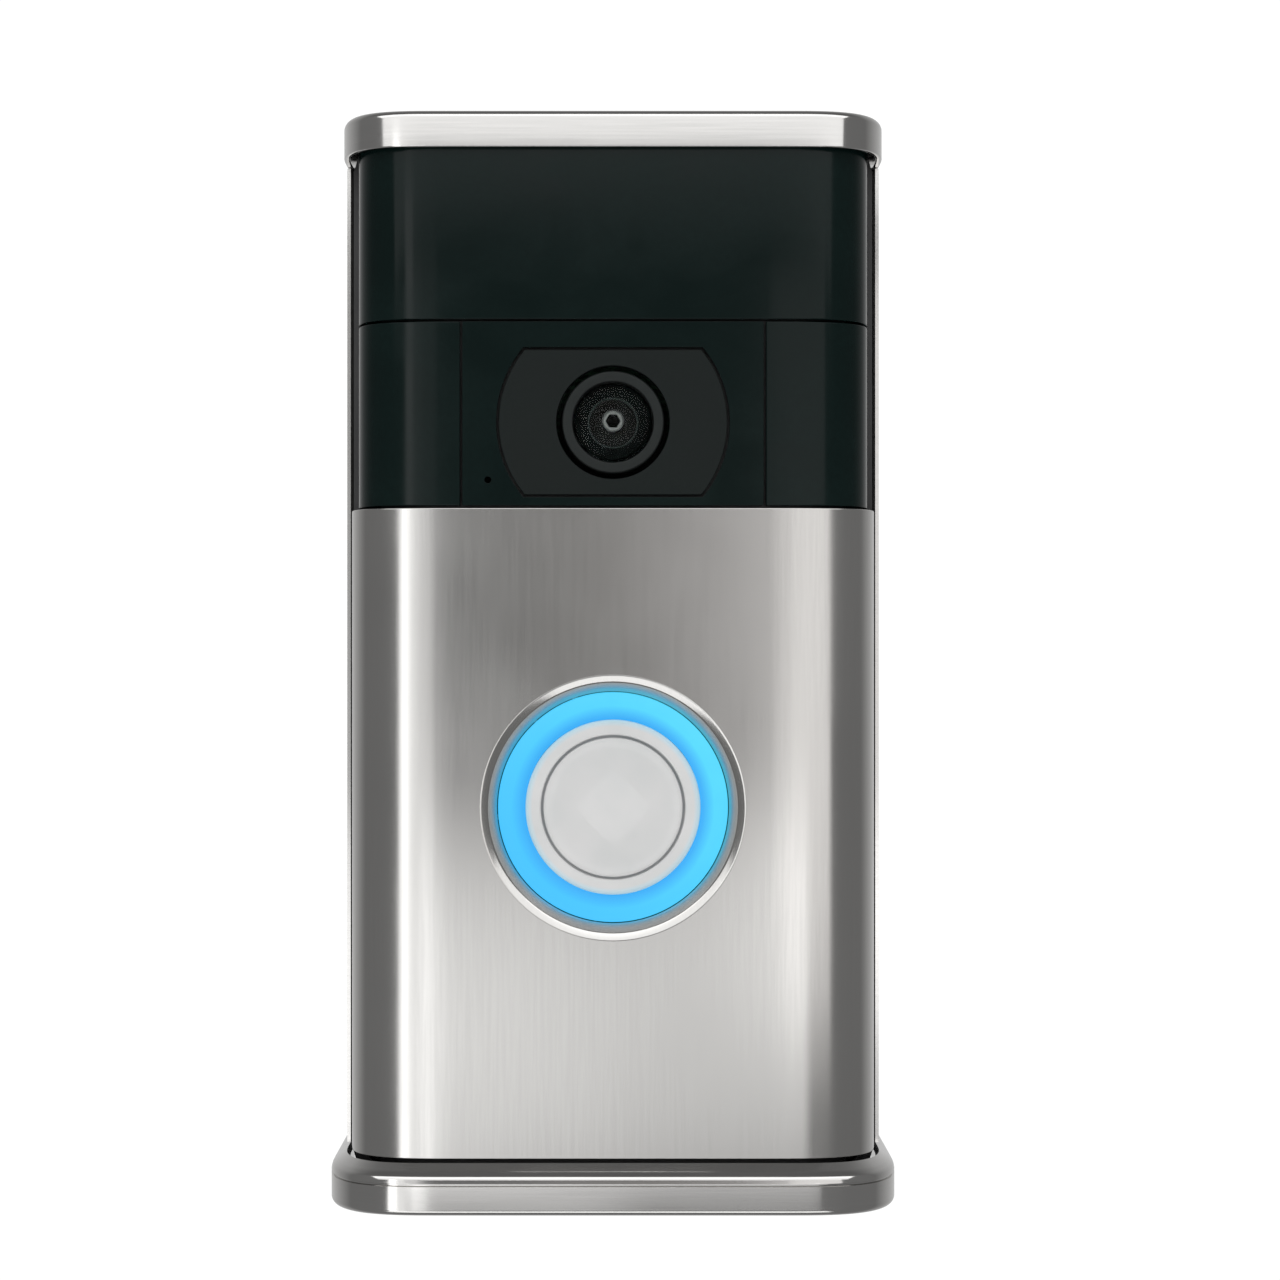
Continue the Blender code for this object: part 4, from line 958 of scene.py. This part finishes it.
def make_cover():
    """The wrap-round cover, with a rolled lip that dips into the button's well."""
    low, high = box_mm("face_cover")
    chain = plan_chain(high.x, low.y, high.y, BODY_CORNER)
    inside = plan_chain(high.x - COVER_SIDE, low.y + COVER_FACE, high.y, BODY_CORNER - COVER_FACE)
    cover = stand_in("face_cover", column([chain + inside[::-1]], low.z, high.z))
    reach = WELL_RADIUS
    depth = low.y
    lip = [(reach, depth)]
    for degrees in range(LIP_START, WELL_SLOPE, LIP_STEP):
        tilt = math.radians(degrees)
        length = LIP_ROUND * math.radians(LIP_STEP)
        if degrees == LIP_TILT:
            length += LIP_FACET
        reach -= length * math.cos(tilt)
        depth += length * math.sin(tilt)
        lip.append((reach, depth))
    flare = (lip[0][0] + 0.8, low.y - 0.056)
    profile = [(0, low.y - 1), (flare[0], low.y - 1), flare] + lip
    profile += [(WELL_FLOOR_RADIUS, low.y + COVER_FACE), (WELL_FLOOR_RADIUS, low.y + COVER_FACE + 1)]
    profile.append((0, low.y + COVER_FACE + 1))
    cut(cover, lathe(profile, BUTTON_CENTRE, steps=144))
    bevelled(cover, 0.32, 4, 55.0)


def make_button():
    low, high = box_mm("light_ring")
    outer = high.x
    inner = box_mm("button_surround")[1].x + RING_GAP
    crown = []
    for step in range(9):
        share = step / 8
        reach = outer - 0.05 - (outer - inner - 0.1) * share
        crown.append((reach, low.y + 0.22 * (2 * share - 1) ** 2))
    profile = crown + [(inner, low.y + 0.3), (inner, high.y), (outer, high.y), (outer, low.y + 0.3)]
    weighted(stand_in("light_ring", lathe(profile, BUTTON_CENTRE, closed=True)))

    low, high = box_mm("button_surround")
    outer = high.x
    inner = SURROUND_INNER
    profile = [
        (inner, high.y),
        (inner, low.y + 0.12),
        (inner + 0.1, low.y),
        (outer - 0.3, low.y),
        (outer, low.y + 0.12),
        (outer, high.y),
    ]
    mesh = lathe(rounded(profile, 0.18, closed=True), BUTTON_CENTRE, closed=True)
    weighted(stand_in("button_surround", mesh, BUTTON_WHITE))

    low, high = box_mm("button_cap")
    radius = BUTTON_RADIUS
    flange = high.x
    seat = high.y - BUTTON_SEAT
    profile = []
    for step in range(9):
        reach = (radius - 0.5) * step / 8
        profile.append((reach, low.y + BUTTON_DISH * (1 - (step / 8) ** 2)))
    profile += rounded([(radius - 0.45, low.y), (radius, low.y + 0.05), (radius, seat)], 0.4)[1:]
    under = seat + BUTTON_FLANGE
    skirt = [(radius, seat), (flange, seat), (flange, under), (BUTTON_STEM, under)]
    profile += rounded(skirt + [(BUTTON_STEM, high.y), (0, high.y)], 0.1)[1:]
    weighted(stand_in("button_cap", lathe(profile, BUTTON_CENTRE), BUTTON_WHITE))


# ---------------------------------------------------------------- stage


def softbox(name, azimuth, elevation, across, up, radiance, colour=(1, 1, 1), distance=0.8):
    """A square-on lamp: azimuth 0 is in front and 90 is to the right; sizes are in degrees seen."""
    turn = math.radians(azimuth)
    rise = math.radians(elevation)
    away = Vector((math.sin(turn) * math.cos(rise), -math.cos(turn) * math.cos(rise), math.sin(rise)))
    lamp = bpy.data.lights.new(name, "AREA")
    lamp.shape = "RECTANGLE"
    lamp.size = 2 * distance * math.tan(math.radians(across / 2))
    lamp.size_y = 2 * distance * math.tan(math.radians(up / 2))
    lamp.energy = radiance * math.pi * lamp.size * lamp.size_y
    lamp.color = colour
    holder = bpy.data.objects.new(name, lamp)
    holder.location = away * distance
    holder.rotation_euler = away.to_track_quat("Z", "Y").to_euler()
    holder.visible_camera = False
    bpy.context.scene.collection.objects.link(holder)


def make_lights():
    softbox("strip_left", -25.5, -6, 7, 40, 1.2)
    softbox("plateau_left", -18, -9, 20, 42, 0.72)
    softbox("plateau_edge", -22, -9, 12, 42, 0.3)
    softbox("fill_low", 0, -10.5, 30, 11, 0.7)
    softbox("fill_low_left", -6, -13, 12, 12, 0.25)
    softbox("fill_right", 19, 0.5, 28, 23, 0.92, (1.0, 0.98, 0.97))
    softbox("warm_front", 1, 3, 6, 8, 0.1, (1.0, 0.9, 0.84))
    softbox("high_front", 0, 38, 84, 49, 1.2)
    softbox("high_bright", 0, 46, 84, 22, 0.5)
    softbox("sweep_low", -4, -42, 44, 24, 1.3)


def make_world():
    """White where the camera sees past the object, and a soft grey room for the light."""
    world = bpy.data.worlds.new("studio")
    world.use_nodes = True
    tree = world.node_tree
    tree.nodes.clear()
    direction = add(tree, "ShaderNodeTexCoord", output="Generated")
    depth = add(tree, "ShaderNodeSeparateXYZ", {0: direction}, output="Y")
    height = add(tree, "ShaderNodeSeparateXYZ", {0: direction}, output="Z")
    walls = spread(tree, depth, ROOM_FRONT, ROOM_BACK, 0.0, 1.0)
    ceiling = spread(tree, height, 1.0, ROOM_CEILING, 0.6, 0.9)
    room = add(tree, "ShaderNodeMath", {0: walls, 1: ceiling}, operation="MULTIPLY")
    shade = add(tree, "ShaderNodeBackground", {"Color": room, "Strength": 1.0})
    white = add(tree, "ShaderNodeBackground", {"Color": (1, 1, 1, 1), "Strength": BACKDROP})
    seen = add(tree, "ShaderNodeLightPath", output="Is Camera Ray")
    both = add(tree, "ShaderNodeMixShader", {0: seen, 1: shade, 2: white})
    out = tree.nodes.new("ShaderNodeOutputWorld")
    tree.links.new(both, out.inputs["Surface"])
    bpy.context.scene.world = world


def make_floor():
    mesh = bpy.data.meshes.new("floor")
    solid = bmesh.new()
    bmesh.ops.create_grid(solid, x_segments=1, y_segments=1, size=FLOOR_HALF)
    bmesh.ops.translate(solid, verts=solid.verts, vec=(0, FLOOR_BACK - FLOOR_HALF, FLOOR_Z))
    solid.to_mesh(mesh)
    solid.free()
    floor = bpy.data.objects.new("floor", mesh)
    bpy.context.scene.collection.objects.link(floor)
    material, tree, shader = new_finish("pale_floor", Roughness=0.9, Emission_Strength=FLOOR_GLOW)
    tone = blend(tree, noise(tree, (6, 6, 6)), (0.88, 0.88, 0.87), (0.94, 0.94, 0.93))
    tree.links.new(tone, shader.inputs["Base Color"])
    tree.links.new(tone, shader.inputs["Emission Color"])
    mesh.materials.append(material)
    floor.visible_glossy = False
    floor.visible_shadow = False


def make_camera_view():
    bpy.context.scene.view_settings.view_transform = "Standard"
    data = bpy.data.cameras.new("view")
    data.lens = LENS_LENGTH
    data.shift_x = SHIFT_X
    data.shift_y = SHIFT_Y
    camera = bpy.data.objects.new("view", data)
    camera.location = (0, -EYE_DISTANCE * MM, 0)
    camera.rotation_euler = (math.radians(90), 0, 0)
    bpy.context.scene.collection.objects.link(camera)
    bpy.context.scene.camera = camera


finish_cad_nodes()
make_top_band()
make_bottom_band()
make_back_plate()
make_screws()
make_head()
make_camera()
make_cover()
make_button()
make_lights()
make_world()
make_floor()
make_camera_view()
